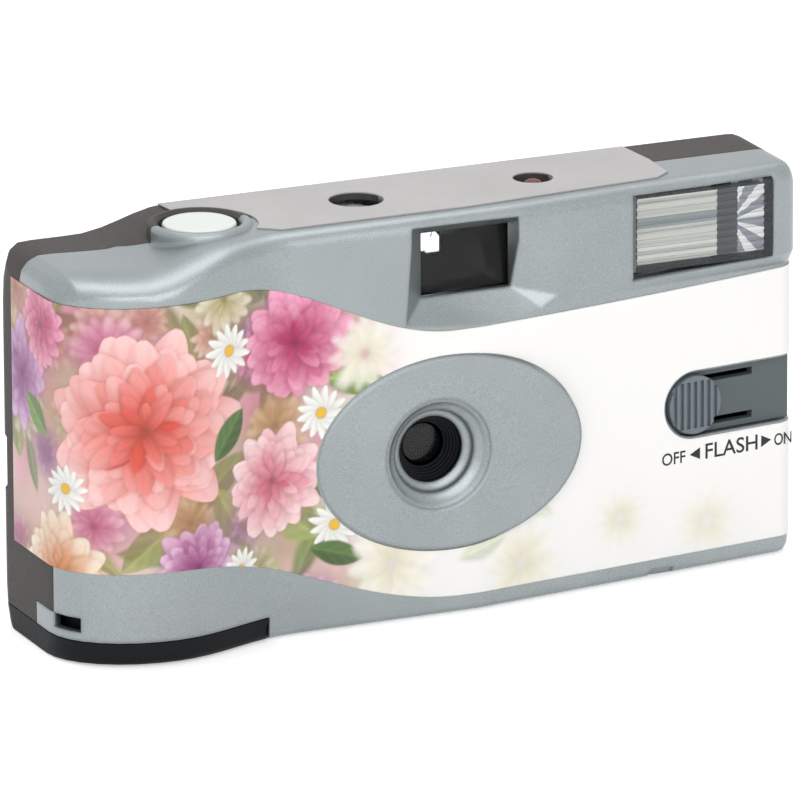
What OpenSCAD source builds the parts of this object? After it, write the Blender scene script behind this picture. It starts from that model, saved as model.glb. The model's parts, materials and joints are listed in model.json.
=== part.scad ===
// Single-use 35 mm flash camera, as an assembly of its mouldings and mechanism.
// Millimetres. Front faces -Y, +X is to the right as seen from the front, Z is up from the base.

/* [Body] */
// Width from end to end
body_w = 118.5; // [118:0.5:124]
// Height of the flat top above the base
body_h = 60; // [59.5:0.5:64]
// Depth from the crest of the grip to the bow of the back
body_d = 35; // [34.5:0.5:38]
// Wall of the covers
wall = 1.4; // [1.1:0.1:1.6]
// Gap at the seams between mouldings
seam_gap = 0.15; // [0.1:0.05:0.3]
// Depth at which the two covers meet
seam_y = 1.2; // [0:0.2:2]
// Further setback of that seam at the left end
seam_slant = 2.4; // [0:0.2:3]

/* [Grip and front] */
// How far the crest of the grip stands in front of the middle
grip_swell = 5; // [4:0.5:6]
// From the left end to the crest of the grip
grip_reach = 15.6; // [15.4:0.1:16.5]
// How far the left flank of the grip rounds back
grip_round = 11.4; // [10:0.2:12]
// From the crest to where the grip has faded out
grip_fade = 20.4; // [18:0.2:23]
// From the lens axis to where the front starts to recede
bend_offset = 6.6; // [4:0.2:9]
// Setback per millimetre of the label face on the right half
face_taper = 0.128; // [0.11:0.002:0.132]
// Setback per millimetre of the brow above it
brow_taper = 0.085; // [0.07:0.005:0.1]
// From the flat top down to where the brow starts to stand out
ledge_drop = 15.7; // [15:0.1:16]
// Height of the slope from the label face to the brow
ledge_h = 2.2; // [1:0.2:3]
// Round along the top of the front
brow_round = 2.4; // [1.6:0.2:3]
// Round along the bottom edges
base_round = 1.2; // [0.6:0.1:1.6]
// Round at the right end of the label face
end_r = 2.5; // [2:0.1:3]
// Round at the right end of the brow
brow_end_r = 3.5; // [3:0.1:4.5]

/* [Top and back] */
// How far the shoulder of the grip lies below the flat top
shoulder_drop = 3; // [2:0.2:3.4]
// From the left end to where the shoulder starts to rise
rise_start = 11.2; // [10:0.2:13]
// Length of the rise from the shoulder to the flat top
rise_w = 15; // [12:0.5:17]
// Round at the left end of the top
shoulder_r = 3.5; // [2.6:0.1:3.6]
// Round at the right end of the top
top_end_r = 3; // [2:0.1:3.5]
// Round at the right end of the base
base_end_r = 2; // [1.6:0.1:3]
// Bow of the back from end to middle
rear_bow = 5.25; // [5:0.25:7]
// Swell of the back between base and top
rear_swell = 1.75; // [1.5:0.25:2.5]
// Round of the upright edges of the back
rear_r = 3; // [2:0.2:4]

/* [Lens and oval] */
// Lens axis across the body
lens_x = -1; // [-2:0.2:0]
// Oval bezel, middle from the lens axis
oval_offset = 2; // [0:0.2:3]
// Oval bezel, width
oval_w = 41.6; // [38:0.4:44]
// Oval bezel, height
oval_h = 28.8; // [26:0.4:31]
// How far the oval stands in front of the middle
oval_proud = 0.6; // [0.5:0.1:1]
// How far the ends of the crowned oval fall back from its middle
oval_crown = 0.5; // [0.3:0.1:0.5]
// Radius of the ring round the lens throat
throat_r = 8.3; // [7.6:0.1:9]
// Radius of the throat at its inner end
throat_inner_r = 5; // [4.6:0.1:5.2]
// Depth of the throat
throat_depth = 3.6; // [3:0.1:3.8]
// Radius of the lens
lens_r = 5.2; // [4.8:0.1:5.3]
// Radius of the aperture
aperture_r = 1.6; // [1.2:0.1:2]

/* [Viewfinder and flash] */
// Middle of the viewfinder from the lens axis
finder_offset = 6; // [5.4:0.2:6.6]
// Viewfinder window, width
finder_w = 14.2; // [12:0.2:14.6]
// Viewfinder window, height
finder_h = 9.6; // [8.6:0.2:10]
// Middle of the viewfinder window below the flat top
finder_drop = 8; // [7.6:0.1:8.4]
// Middle of the flash window from the right end
flash_inset = 16.2; // [15.6:0.2:17]
// Flash window, width
flash_w = 22; // [20:0.2:22.4]
// Flash window, height
flash_h = 11.5; // [10.4:0.1:11.7]
// Middle of the flash window below the flat top
flash_drop = 7.55; // [7.4:0.05:7.8]
// Radius of the flash tube
tube_r = 1.5; // [1.2:0.1:1.8]

/* [Flash switch] */
// Middle of the knob in the off position, from the right end
knob_inset = 17.2; // [16:0.2:18]
// Height of the switch above the lens axis
switch_rise = 0.75; // [-0.5:0.25:1.5]
// Radius of the knob
knob_r = 4.4; // [4:0.1:4.6]
// Gap between the knob and the slot
knob_gap = 0.5; // [0.3:0.1:0.8]
// Travel from off to on
switch_travel = 9; // [6:0.5:9.5]

/* [Shutter button] */
// Middle of the button from the left end
button_inset = 25.6; // [25.2:0.1:26]
// How far the button stands ahead of the middle of the depth
button_lead = 1.2; // [0.6:0.1:1.8]
// Radius of the button
button_r = 5.4; // [5:0.1:5.5]
// Inner radius of the raised ring
ring_in = 6; // [5.8:0.1:6.2]
// Outer radius of the raised ring
ring_out = 7.6; // [7.2:0.1:7.8]
// Height of the ring above the flat top
ring_h = 0.7; // [0.4:0.1:1]
// Travel of the button
button_travel = 1.2; // [0.8:0.1:1.2]

/* [Film] */
// Height taken up by the base, the deck and the viewfinder above the film
film_room = 25; // [24.6:0.1:26]
// How much taller the cassette is than the film is wide
cassette_over = 9; // [8.6:0.1:9]
// Thickness of the film as modelled
film_t = 0.2; // [0.14:0.02:0.24]
// Film left above and below the gate, together
gate_margin = 11; // [10.5:0.5:12]
// How far the thumb wheel reaches past the cassette
wheel_over = 0.9; // [0.5:0.1:1]
// Thickness of the thumb wheel
wheel_t = 3; // [2.4:0.1:3.1]
// Notches round the thumb wheel
wheel_notches = 36; // [24:4:44]
// Pitch radius of the film sprocket
sprocket_r = 6.05; // [5.8:0.05:6.1]

/* [Door] */
// Right end of the film door from the left end of the body
door_w = 31.4; // [31:0.1:32]
// Height of the skirt of the door
door_h = 3.5; // [3.2:0.05:3.8]
// Radius of the hinge pin
pin_r = 0.8; // [0.6:0.05:0.9]

/* [Labels] */
// Thickness of the labels
label_t = 0.2; // [0.12:0.02:0.3]
// From the flat top to the label's top edge over the grip
label_drop = 6.8; // [6.8:0.2:8]
// From the flat top to the label's top edge at the viewfinder
label_dip = 17.3; // [17.2:0.1:19]
// Bottom edge of the label under the grip
label_foot = 13.8; // [13:0.1:14.4]
// Bottom edge of the label on the right half
label_low = 2.7; // [2.2:0.1:3.5]

/* [Electrics] */
// Radius of the battery
battery_r = 5.25; // [5:0.05:5.25]
// Radius of the flash capacitor
capacitor_r = 4.5; // [4:0.1:4.5]

/* [Hidden] */
$fn = 64;
eps = 0.02;
running_fit = 0.05;
free_gap = 0.35;

half_w = body_w / 2;
front_y = grip_swell - body_d / 2;
side_y = grip_round - body_d / 2;
rear_edge_y = body_d / 2 - rear_bow - rear_swell;
rear_power = 14;
grip_x = grip_reach - half_w;
flat_x = grip_x + grip_fade;
bend_x = lens_x + bend_offset;
rise_x = rise_start - half_w;
face_turn = atan(face_taper);

button_x = button_inset - half_w;
button_y = (front_y + rear_edge_y) / 2 - button_lead;
door_x = door_w - half_w;
flash_x = half_w - flash_inset;
flash_z = body_h - flash_drop;
finder_x = lens_x + finder_offset;
finder_z = body_h - finder_drop;
ledge_z = body_h - ledge_drop;
knob_x = half_w - knob_inset;
seam_reach = max(seam_y + seam_slant, seam_y) + 1;
seam_front = min(button_y, seam_y) - 1;

// Setback of a round of radius r at a distance d past its start
function corner(d, r) = d <= 0 || r <= 0 ? 0 : r - sqrt(max(0, r * r - pow(min(d, r), 2)));

// Falls smoothly from 1 to 0 between a and a + w
function fall(x, a, w) = x <= a ? 1 : x >= a + w ? 0 : (1 + cos(180 * (x - a) / w)) / 2;

// Film plane, parallel to the inside of the back
film_gap = 0.7;
rail_gap = 0.3;
function back_bow(x) = rear_swell + rear_bow * (1 - pow(x / half_w, 2));
function film_y(x) = rear_edge_y - wall + back_bow(x) - film_gap;

// Levels inside, from the base up and from the top down
plate_t = 1.3;
deck_t = 1.2;
deck_drop = 14;
deck_top = body_h - deck_drop;
deck_z = deck_top - deck_t;
film_w = body_h - film_room;
cassette_h = film_w + cassette_over;
cassette_lift = 1.1;
cassette_z = wall + cassette_lift;
cassette_top = cassette_z + cassette_h;
lens_z = cassette_z + cassette_h / 2;
film_low = lens_z - film_w / 2;
gate_h = film_w - gate_margin;
switch_z = lens_z + switch_rise;
lid_gap = 0.4;
lid_z = cassette_top + lid_gap;
lid_t = 1.2;
wheel_gap = 0.9;
wheel_z = body_h - shoulder_drop - wall - wheel_t - wheel_gap;
nub_gap = 1.2;
nub_top = wheel_z - nub_gap;
lamp_drop = 6.5;
lamp_z = body_h - lamp_drop;
disc_drop = 2;
disc_z = body_h - wall - disc_drop;
lever_drop = 2.3;
lever_z = wheel_z - lever_drop;

// The film cassette fills the grip, as deep and as wide as its walls allow
chamber_gap = 0.6;
chamber_wall = 1;
grip_front = wall - body_d / 2;
grip_back = rear_edge_y - wall + back_bow(grip_x);
cassette_y = (grip_front + grip_back) / 2;
depth_room = 2.17;
side_room = 1.7;
cassette_r = min((grip_back - grip_front) / 2 - depth_room, grip_reach - wall - side_room);
chamber_r = cassette_r + chamber_gap + chamber_wall;
wheel_r = cassette_r + wheel_over;
hub_r = 6;
nub_r = 3.2;

// Depths inside
bulkhead_set = 8.9;
bulkhead_y = front_y + bulkhead_set;
bulkhead_t = 1.2;
blade_t = 0.4;
blade_gap = 0.8;
blade_y = bulkhead_y - blade_gap;
lens_gap = 1.3;
lens_back = bulkhead_y - lens_gap;
lens_t = 1.7;
tube_gap = 0.2;
tube_in = lens_r + tube_gap;
tube_wall = 0.7;
oval_face = front_y - oval_proud;
crown_r = pow(oval_w, 2) / (8 * oval_crown);
throat_back = oval_face + throat_depth;
board_set = 6.4;
board_y = front_y + board_set;
board_t = 1.1;
battery_set = 9;
battery_y = front_y + battery_set;
capacitor_set = 8;
capacitor_y = front_y + capacitor_set;
hole_set = 2.35;
top_hole_y = button_y + hole_set;
finder_lip = 1;
finder_set = 3.3;
backing_drop = 18;
backing_low = body_h - backing_drop;
finder_face = front_y + finder_set;
flash_set = 4.9;
flash_face = front_y + flash_set;

// Film roll, between the board and the film
roll_inset = 20.25;
roll_x = half_w - roll_inset;
roll_room = 1.75;
roll_r = (film_y(roll_x) - board_y - board_t - roll_room) / 2;
roll_gap = 0.25;
roll_y = film_y(roll_x) - roll_r - roll_gap;
spool_pin_r = 1.5;
core_r = 4;

// Sprocket, whose teeth end short of the film
sprocket_set = 20.15;
sprocket_x = grip_x + sprocket_set;
tooth_h = 0.55;
sprocket_y = film_y(sprocket_x) - film_t / 2 - free_gap - sprocket_r - tooth_h;
sprocket_drop = 3.1;
sprocket_z = lens_z + film_w / 2 - sprocket_drop;

// Places along the body: the left ones go with the grip, the right ones with the film roll
web_gap = 3.8;
web_x = roll_x - roll_r - web_gap;
web_t = 1.2;
gate_room = 14.5;
gate_w = web_x - sprocket_x - gate_room;
capacitor_gap = 10.5;
capacitor_x = web_x - capacitor_gap;
board_gap = 5.4;
board_x = web_x - board_gap;
board_w = 14.4;
hinge_set = 1.6;
hinge_x = door_x + hinge_set;
hinge_z = 1.5;
knuckle_r = 1.4;
lug_half = 3;
hinge_half = 8.3;
notch_w = 3.4;
notch_end = door_x + notch_w;
base_gap = 0.2;
base_start = notch_end + base_gap;
contact_room = 6.75;
contact_shift = 0.625;
battery_l = web_x - base_start - contact_room;
battery_x = (web_x + base_start) / 2 - contact_shift;
battery_z = wall + plate_t + free_gap + battery_r;
capacitor_lift = 1.6;
capacitor_drop = 1.4;
capacitor_z = battery_z + battery_r + capacitor_lift;
capacitor_l = min(deck_z - capacitor_drop, backing_low - free_gap) - capacitor_z;
board_lift = 1.4;
board_z = battery_z + battery_r + board_lift;
leg_set = 6.45;
leg_x = button_x + leg_set;
leg_w = 1.8;
lever_set = 6.7;
lever_x = leg_x + lever_set;
lever_t = 1.6;
lever_lead = 2.4;
lever_y = button_y - lever_lead;
lever_w = 2.8;
spring_r = 1.3;
spring_y = lever_y + lever_w + spring_r + 0.4;
finder_left = finder_x - finder_w / 2 - finder_lip;
counter_x = (finder_left + leg_x + leg_w) / 2;
counter_gap = 1.65;
counter_inset = 3.35;
counter_r = min((finder_left - leg_x - leg_w) / 2, top_hole_y - front_y - wall) - counter_gap;
counter_hole_r = 4;
counter_hole_x = counter_x + counter_r - counter_inset;
lamp_set = 20.9;
lamp_x = lens_x + lamp_set;
lamp_hole_r = 2.95;
blade_set = 6.5;
striker_set = 13;
striker_drop = 4.8;
blade_pivot = [lens_x - blade_set, lens_z + 0.394 * (deck_z - lens_z)];
striker_pivot = [lens_x - striker_set, deck_z - striker_drop];

// Front of the body in plan; s sets the form in from its skin
function flank_y(x, s) =
    side_y - (grip_round - s) * sqrt(max(0, 1 - pow((x - grip_x) / (grip_reach - s), 2)));
function taper_y(x, s, taper, r) =
    front_y + s + max(0, x - bend_x) * taper + corner(x - (half_w - r), r - s);
function face_y(x, s) =
    x < grip_x ? flank_y(x, s)
    : x < flat_x ? front_y + s - grip_swell * fall(x, grip_x, grip_fade)
    : taper_y(x, s, face_taper, end_r);
function brow_y(x, s) = x < flat_x ? face_y(x, s) : taper_y(x, s, brow_taper, brow_end_r);

// Top, base and back of the body
function top_z(x, s) =
    body_h - s - shoulder_drop * fall(x, rise_x, rise_w)
    - corner(-x - (half_w - shoulder_r), shoulder_r - s) - corner(x - (half_w - top_end_r), top_end_r - s);
function base_z(x, s) = s + corner(x - (half_w - base_end_r), base_end_r - s);
function back_y(x, u, s) =
    rear_edge_y - s + back_bow(x) * (1 - pow(abs(u), rear_power)) - corner(abs(x) - (half_w - rear_r), rear_r - s);

flank_steps = 8;
fade_steps = 8;
mid_steps = 4;
taper_steps = 6;
end_steps = 5;
function stations(s) = concat(
    [for (i = [0:flank_steps]) grip_x - (grip_reach - s) * cos(i * 90 / flank_steps)],
    [for (i = [1:fade_steps]) grip_x + i * grip_fade / fade_steps],
    [for (i = [1:mid_steps]) flat_x + i * (bend_x - flat_x) / mid_steps],
    [for (i = [1:taper_steps]) bend_x + i * (half_w - brow_end_r - bend_x) / taper_steps],
    [for (i = [1:end_steps]) half_w - brow_end_r + (brow_end_r - s) * sin(i * 90 / end_steps)]
);

// Edge of the top: a plain round along the brow that grows deep and soft over the shoulder
base_arc = 3;
brow_arc = 6;
soft_w = 12;
soft_deep = 5.5;
soft_tall = 0.6;
soft_share = 0.8;
function front_section(x, s, open_y) =
    let (
        face = face_y(x, s),
        brow = brow_y(x, s),
        low = base_z(x, s),
        high = top_z(x, s),
        r0 = max(0.3, base_round - s),
        soft = fall(x, rise_x, rise_w + soft_w),
        deep = max(0.3, min(brow_round + soft_deep * soft - s, soft_share * (open_y - brow))),
        tall = max(0.3, brow_round + soft_tall * soft - s)
    )
    concat(
        [[open_y, low]],
        [for (i = [0:base_arc]) let (a = 270 - 90 * i / base_arc) [face + r0 + r0 * cos(a), low + r0 + r0 * sin(a)]],
        [[face, ledge_z], [brow, ledge_z + ledge_h]],
        [for (i = [0:brow_arc]) let (a = 180 - 90 * i / brow_arc) [brow + deep * (1 + cos(a)), high - tall * (1 - sin(a))]],
        [[open_y, high], [open_y, ledge_z + ledge_h]]
    );

back_arc = 14;
function back_section(x, s, open_y) =
    let (
        low = base_z(x, s),
        high = top_z(x, s),
        mid = (low + high) / 2,
        half = (high - low) / 2
    )
    concat(
        [[open_y, high]],
        [for (i = [0:back_arc]) let (u = sin(90 - 180 * i / back_arc)) [back_y(x, u, s), mid + half * u]],
        [[open_y, low]]
    );

// Solid through a row of sections that stand across X; each end is a fan from the section's last point
module loft(xs, sections) {
    n = len(sections[0]);
    last = len(xs) - 1;
    points = [for (i = [0:last]) for (p = sections[i]) [xs[i], p[0], p[1]]];
    sides = [
        for (i = [0:last - 1]) for (j = [0:n - 1])
            let (k = (j + 1) % n)
                each [
                    [i * n + j, i * n + k, (i + 1) * n + k],
                    [i * n + j, (i + 1) * n + k, (i + 1) * n + j]
                ]
    ];
    left_end = [for (j = [0:n - 3]) [n - 1, j + 1, j]];
    right_end = [for (j = [0:n - 3]) [last * n + n - 1, last * n + j, last * n + j + 1]];
    polyhedron(points, concat(sides, left_end, right_end));
}

module front_form(s, open_y) {
    xs = stations(s);
    loft(xs, [for (x = xs) front_section(x, s, open_y)]);
}

module back_form(s, open_y) {
    xs = stations(s);
    loft(xs, [for (x = xs) back_section(x, s, open_y)]);
}

module front_shell() difference() {
    front_form(0, seam_reach);
    front_form(wall, seam_reach + 1);
}

module back_shell() difference() {
    back_form(0, seam_front);
    back_form(wall, seam_front - 1);
}

// The line in plan where the covers meet, stepping round the button
function seam_line(shift) = [
    [-half_w - 1, seam_y + seam_slant + shift],
    [button_x - ring_out - 4, seam_y + shift],
    [button_x - ring_out, button_y + shift],
    [button_x + ring_out, button_y + shift],
    [button_x + ring_out + 4, seam_y + shift],
    [half_w + 1, seam_y + shift]
];

module front_zone() translate([0, 0, -1]) linear_extrude(body_h + 4)
    polygon(concat(seam_line(-seam_gap / 2), [[half_w + 1, -body_d], [-half_w - 1, -body_d]]));

module back_zone() translate([0, 0, -1]) linear_extrude(body_h + 4)
    polygon(concat(seam_line(seam_gap / 2), [[half_w + 1, body_d], [-half_w - 1, body_d]]));

// Left cheek of the rear cover, which reaches forward under the label and leaves the clip tab free
cheek_front = side_y - 1.4;
cheek_top = body_h / 2;
tab_back = side_y + 4.6;
tab_top = 6.8;
module cheek(g) translate([-half_w - 1, 0, 0]) rotate([90, 0, 90]) linear_extrude(wall + 1.6)
    polygon([
        [seam_reach, door_h], [seam_reach, cheek_top - g], [cheek_front + g, cheek_top - g],
        [cheek_front + g, tab_top + g], [tab_back + g, tab_top + g], [tab_back + g, door_h]
    ]);

module door_zone(g) translate([-half_w - 1, -body_d, -1])
    cube([door_x + half_w + 1 + g, 2 * body_d, door_h + 1 + g]);

module hinge_notch() translate([door_x - 1, -hinge_half - 0.4, -1])
    cube([notch_end - door_x + 1, 2 * hinge_half + 0.8, wall + 2]);

// A solid of revolution about the lens axis, drawn as radius against depth
module about_lens() translate([lens_x, 0, lens_z]) rotate([-90, 0, 0]) rotate_extrude() children();

module oval(grow) translate([lens_x + oval_offset, 0, lens_z]) rotate([90, 0, 0])
    linear_extrude(body_d, center = true) scale([oval_w / oval_h, 1]) circle(r = oval_h / 2 + grow);

// Frustum between two upright rectangles, each given as [x, z, width, height] about its middle
module funnel(y0, a, y1, b) {
    function ring(y, q) = [for (c = [[-1, -1], [1, -1], [1, 1], [-1, 1]])
        [q[0] + c[0] * q[2] / 2, y, q[1] + c[1] * q[3] / 2]];
    polyhedron(
        concat(ring(y0, a), ring(y1, b)),
        [[3, 2, 1, 0], [4, 5, 6, 7], [5, 4, 0, 1], [6, 5, 1, 2], [7, 6, 2, 3], [4, 7, 3, 0]]
    );
}

// Block behind the front wall, back to depth y1 or further; it follows the label face, then the brow
backing_t = 0.9;
module backing(x0, x1, z0, z1, y1) {
    step_z = ledge_z + ledge_h;
    bend = x0 < bend_x ? [bend_x] : [];
    xs = concat([x0], bend, [x1]);
    translate([0, 0, z0]) linear_extrude(step_z + 0.2 - z0) polygon(concat(
        [for (x = xs) [x, face_y(x, wall / 2)]],
        [for (x = [x1, x0]) [x, max(y1, face_y(x, wall / 2) + backing_t)]]
    ));
    translate([0, 0, step_z]) linear_extrude(z1 - step_z) polygon(concat(
        [for (x = xs) [x, brow_y(x, wall / 2)]],
        [for (x = [x1, x0]) [x, max(y1, brow_y(x, wall / 2) + backing_t)]]
    ));
}

// Frame on the receding label face: x along it, y into the body, z up
module on_face(x, z) translate([x, face_y(x, 0), z]) rotate([0, 0, face_turn]) children();

module stadium(r, length, y0, y1) translate([0, y1, 0]) rotate([90, 0, 0]) linear_extrude(y1 - y0) union() {
    circle(r = r);
    translate([0, -r]) square([length, 2 * r]);
}

// Ring round the button, with a softened crest; the hole for the button trims its inside
module button_ring() {
    low = body_h - 2.4;
    high = body_h + ring_h;
    translate([button_x, button_y, 0]) rotate_extrude() polygon([
        [ring_in - 0.4, low], [ring_out, low], [ring_out, high - 0.55], [ring_out - 0.17, high - 0.17],
        [ring_out - 0.55, high], [ring_in + 0.5, high], [ring_in - 0.4, high - 0.9]
    ]);
}

module top_holes() {
    translate([button_x, button_y, body_h - 4]) cylinder(r = ring_in, h = 8);
    translate([counter_hole_x, top_hole_y, body_h - 4]) cylinder(r = counter_hole_r, h = 8);
    translate([lamp_x, top_hole_y, body_h - 4]) cylinder(r = lamp_hole_r, h = 8);
}

// Viewfinder recess: it opens wide to the right, where a fan of walls spreads from the foot of the window
window_left = finder_x - finder_w / 2;
window_right = finder_x + finder_w / 2;
window_low = finder_z - finder_h / 2;
window_high = finder_z + finder_h / 2;
recess_left = 5.1;
recess_right = 14.2;
recess_bow = 9.4;
recess_low = 4.2;
recess_fold = 2.9;
recess_high = 2.5;
module finder_recess() polyhedron(
    [
        [window_left - recess_left, rim_depth, window_low - recess_low],
        [window_right + recess_bow, rim_depth, window_low - recess_low - recess_fold],
        [window_right + recess_right, rim_depth, window_low - recess_low + recess_fold / 3],
        [window_right + recess_bow, rim_depth, window_low + recess_bow],
        [window_right + recess_high / 10, rim_depth, window_high + recess_high],
        [window_left - recess_left + recess_high / 2, rim_depth, window_high + recess_high],
        [window_left, finder_face, window_low],
        [window_right, finder_face, window_low],
        [window_right, finder_face, window_high],
        [window_left, finder_face, window_high]
    ],
    [
        [5, 4, 3, 2, 1, 0], [6, 7, 8, 9], [7, 6, 1], [6, 0, 1], [7, 1, 2], [7, 2, 3], [7, 3, 4], [8, 7, 4],
        [9, 8, 4], [9, 4, 5], [6, 9, 5], [6, 5, 0]
    ]
);
finder_hole = [finder_x, finder_z, finder_w, finder_h];
flash_rim = [flash_x - 0.1, flash_z - 0.75, flash_w + 3.2, flash_h + 3];
flash_hole = [flash_x, flash_z, flash_w + 0.6, flash_h + 0.5];
rim_depth = front_y - 1;
block_gap = 0.2;

module front_cover() color("#b4bbc0") difference() {
    union() {
        intersection() {
            front_shell();
            front_zone();
        }
        intersection() {
            oval(0);
            translate([-half_w, oval_face, 0]) cube([body_w, wall + oval_proud - 0.3, body_h]);
            translate([lens_x + oval_offset, oval_face + crown_r, lens_z]) sphere(r = crown_r, $fn = 360);
        }
        about_lens() translate([0, front_y + 0.4]) square([throat_r + 1.2, throat_back - front_y - 0.4]);
        backing(finder_x - 12.6, finder_x + 15.4, backing_low, body_h - wall, finder_face + finder_lip);
        backing(flash_x - 13.4, flash_x + 14.2, ledge_z + 0.4, body_h - wall, flash_face + backing_t);
        intersection() {
            button_ring();
            front_zone();
        }
    }
    cheek(0);
    door_zone(0);
    hinge_notch();
    about_lens() polygon([
        [0, oval_face - 1], [throat_r, oval_face - 1], [throat_r, oval_face + 0.5], [throat_r - 0.5, oval_face + 0.5],
        [throat_r - 0.9, oval_face + 1], [throat_inner_r + 1.3, oval_face + 1.7],
        [throat_inner_r + 1, throat_back - 0.9], [throat_inner_r, throat_back - 0.5],
        [throat_inner_r, throat_back + 1], [0, throat_back + 1]
    ]);
    finder_recess();
    funnel(finder_face - eps, finder_hole, finder_face + 4, finder_hole);
    funnel(rim_depth, flash_rim, flash_face, flash_hole);
    funnel(flash_face - eps, flash_hole, flash_face + 4, flash_hole);
    on_face(knob_x, switch_z) stadium(knob_r + knob_gap, knob_inset + 4, -2, wall + 1.5);
    top_holes();
    clip_hole();
    base_slot();
}

// Rectangular window of the snap clip, through the rounded left corner
module clip_hole() translate([grip_x - 14.2, side_y - 3.7, tab_top - 1]) rotate([0, 0, 26])
    cube([2 * wall + 3, 5.2, 2.2], center = true);

// Small release slot in the front of the base
slot_x = half_w - 22.75;
module base_slot() translate([slot_x, face_y(slot_x, 0), 0]) cube([4, 2.4, 2], center = true);

module rear_cover() color("#5d5a57") difference() {
    union() {
        intersection() {
            back_shell();
            back_zone();
        }
        intersection() {
            front_shell();
            cheek(seam_gap);
        }
        intersection() {
            button_ring();
            back_zone();
        }
        intersection() {
            back_form(0.3, seam_front);
            thumb_scoop(wall);
        }
    }
    door_zone(0);
    hinge_notch();
    top_holes();
    thumb_scoop(0);
    chamber_room();
    cassette_room();
    eyepiece_hole();
    strap_notch();
}

// Hollow for the thumb in the back, with the edge of the wheel in its floor
scoop_r = 3.9;
scoop_w = 22;
scoop_z = wheel_z + wheel_t / 2 - 1;
scoop_y = cassette_y + wheel_r - 1.5;
module thumb_scoop(grow) translate([grip_x, scoop_y + scoop_r, scoop_z]) rotate([0, 90, 0])
    cylinder(r = scoop_r + grow, h = scoop_w + 2 * grow, center = true);

// Room for the film cassette in the back and in the door
module cassette_room() translate([grip_x, cassette_y, cassette_z - free_gap])
    cylinder(r = cassette_r + free_gap, h = cassette_h + 2 * free_gap);

// Room for the wheel and for the lid of the film chamber under it
module chamber_room() translate([grip_x, cassette_y, 0]) {
    translate([0, 0, wheel_z - 0.5]) cylinder(r = wheel_r + 0.5, h = wheel_t + 1);
    translate([0, 0, lid_z - 1]) cylinder(r = chamber_r + 0.3, h = lid_t + 1.25);
}

eyepiece = [finder_x, body_h - 9.8, 10, 6.4];
tube_end_y = rear_edge_y + 3;
module eyepiece_hole() {
    wide = [eyepiece[0], eyepiece[1], eyepiece[2] + 3, eyepiece[3] + 3];
    funnel(tube_end_y - 2, eyepiece, tube_end_y + 2, eyepiece);
    funnel(tube_end_y + 2 - eps, eyepiece, tube_end_y + 6, wide);
}

// Notch for a fingernail in the left edge of the back
module strap_notch() translate([-half_w - 1, rear_edge_y - 1.4, lens_z - 4]) cube([2.2, 6, 8]);

module film_door() color("#2b2a29") difference() {
    union() {
        difference() {
            intersection() {
                union() {
                    front_shell();
                    back_shell();
                }
                door_zone(-seam_gap);
            }
            translate([hinge_x, 0, hinge_z]) rotate([90, 0, 0]) cylinder(r = swing_r, h = 2 * body_d, center = true);
        }
        for (side = [-1, 1]) translate([0, side * (lug_half + hinge_half) / 2, 0]) knuckle_arm();
    }
    translate([hinge_x, 0, hinge_z]) rotate([90, 0, 0])
        cylinder(r = pin_r + running_fit, h = 2 * body_d, center = true);
    cassette_room();
}

// Radius about the hinge that the edge of the door keeps, so that it swings past the lower edge of the covers
swing_r = norm([hinge_set, hinge_z]) + 0.1;
knuckle_len = hinge_half - lug_half - 0.3;
module knuckle_arm() {
    translate([hinge_x, 0, hinge_z]) rotate([90, 0, 0]) cylinder(r = knuckle_r, h = knuckle_len, center = true);
    translate([door_x - 1, -knuckle_len / 2, 0.1]) cube([hinge_x - door_x + 1, knuckle_len, wall - 0.1]);
}

module door_hinge_pin() color("silver") translate([hinge_x, 0, hinge_z]) rotate([90, 0, 0])
    cylinder(r = pin_r, h = 2 * hinge_half + 0.4, center = true);

// Edges of the label, seen from the front
label_fall_x = grip_x + 9.65;
label_fall_w = lens_x + 3 - label_fall_x;
label_high = body_h - label_drop;
label_mid = body_h - label_dip;
label_rise = 1.3;
function label_top(x) =
    label_mid + (label_high - label_mid) * fall(x, label_fall_x, label_fall_w)
    + label_rise * pow(max(0, x - label_fall_x - label_fall_w) / half_w, 2);
foot_lead = 10;
foot_late = 1;
function label_bottom(x) =
    label_low + (label_foot - label_low) * fall(x, label_fall_x - foot_lead, label_fall_w + foot_lead + foot_late);

label_back_left = rear_edge_y - 4.2;
label_back_right = front_y + 11;
function label_line(s) = concat(
    [[-half_w + s, label_back_left]],
    [for (x = stations(s)) [x, face_y(x, s)]],
    [[half_w - s, label_back_right]]
);
function reversed(list) = [for (i = [len(list) - 1:-1:0]) list[i]];
outline_steps = 60;
module label_outline() rotate([90, 0, 0]) linear_extrude(3 * body_d, center = true) polygon(concat(
    [for (i = [0:outline_steps]) let (x = -half_w - 1 + i * (body_w + 2) / outline_steps) [x, label_top(x)]],
    [for (i = [outline_steps:-1:0]) let (x = -half_w - 1 + i * (body_w + 2) / outline_steps) [x, label_bottom(x)]]
));

module front_label() color("#efd9dd") difference() {
    intersection() {
        linear_extrude(body_h) polygon(concat(label_line(-label_t), reversed(label_line(0))));
        label_outline();
    }
    oval(0.3);
    on_face(knob_x, switch_z) stadium(knob_r + knob_gap + 0.3, knob_inset + 4, -2, wall + 3);
}

label_edge = 0.3;
module top_label() color("#c9c2c4") translate([0, 0, body_h]) linear_extrude(label_t) difference() {
    polygon([
        [button_x - 1.2, rear_edge_y - label_edge], [button_x, button_y],
        [button_x + 9.6, front_y + brow_round + label_edge],
        [bend_x, front_y + brow_round + label_edge],
        [flash_x - 6.6, brow_y(flash_x - 6.6, brow_round) + label_edge],
        [flash_x - 4, front_y + 7.4], [flash_x - 3.6, seam_y + 1], [flash_x - 4.2, rear_edge_y - label_edge]
    ]);
    translate([button_x, button_y]) circle(r = ring_out + 0.9);
    translate([counter_hole_x, top_hole_y]) circle(r = counter_hole_r);
    translate([lamp_x, top_hole_y]) circle(r = lamp_hole_r);
}

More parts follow.
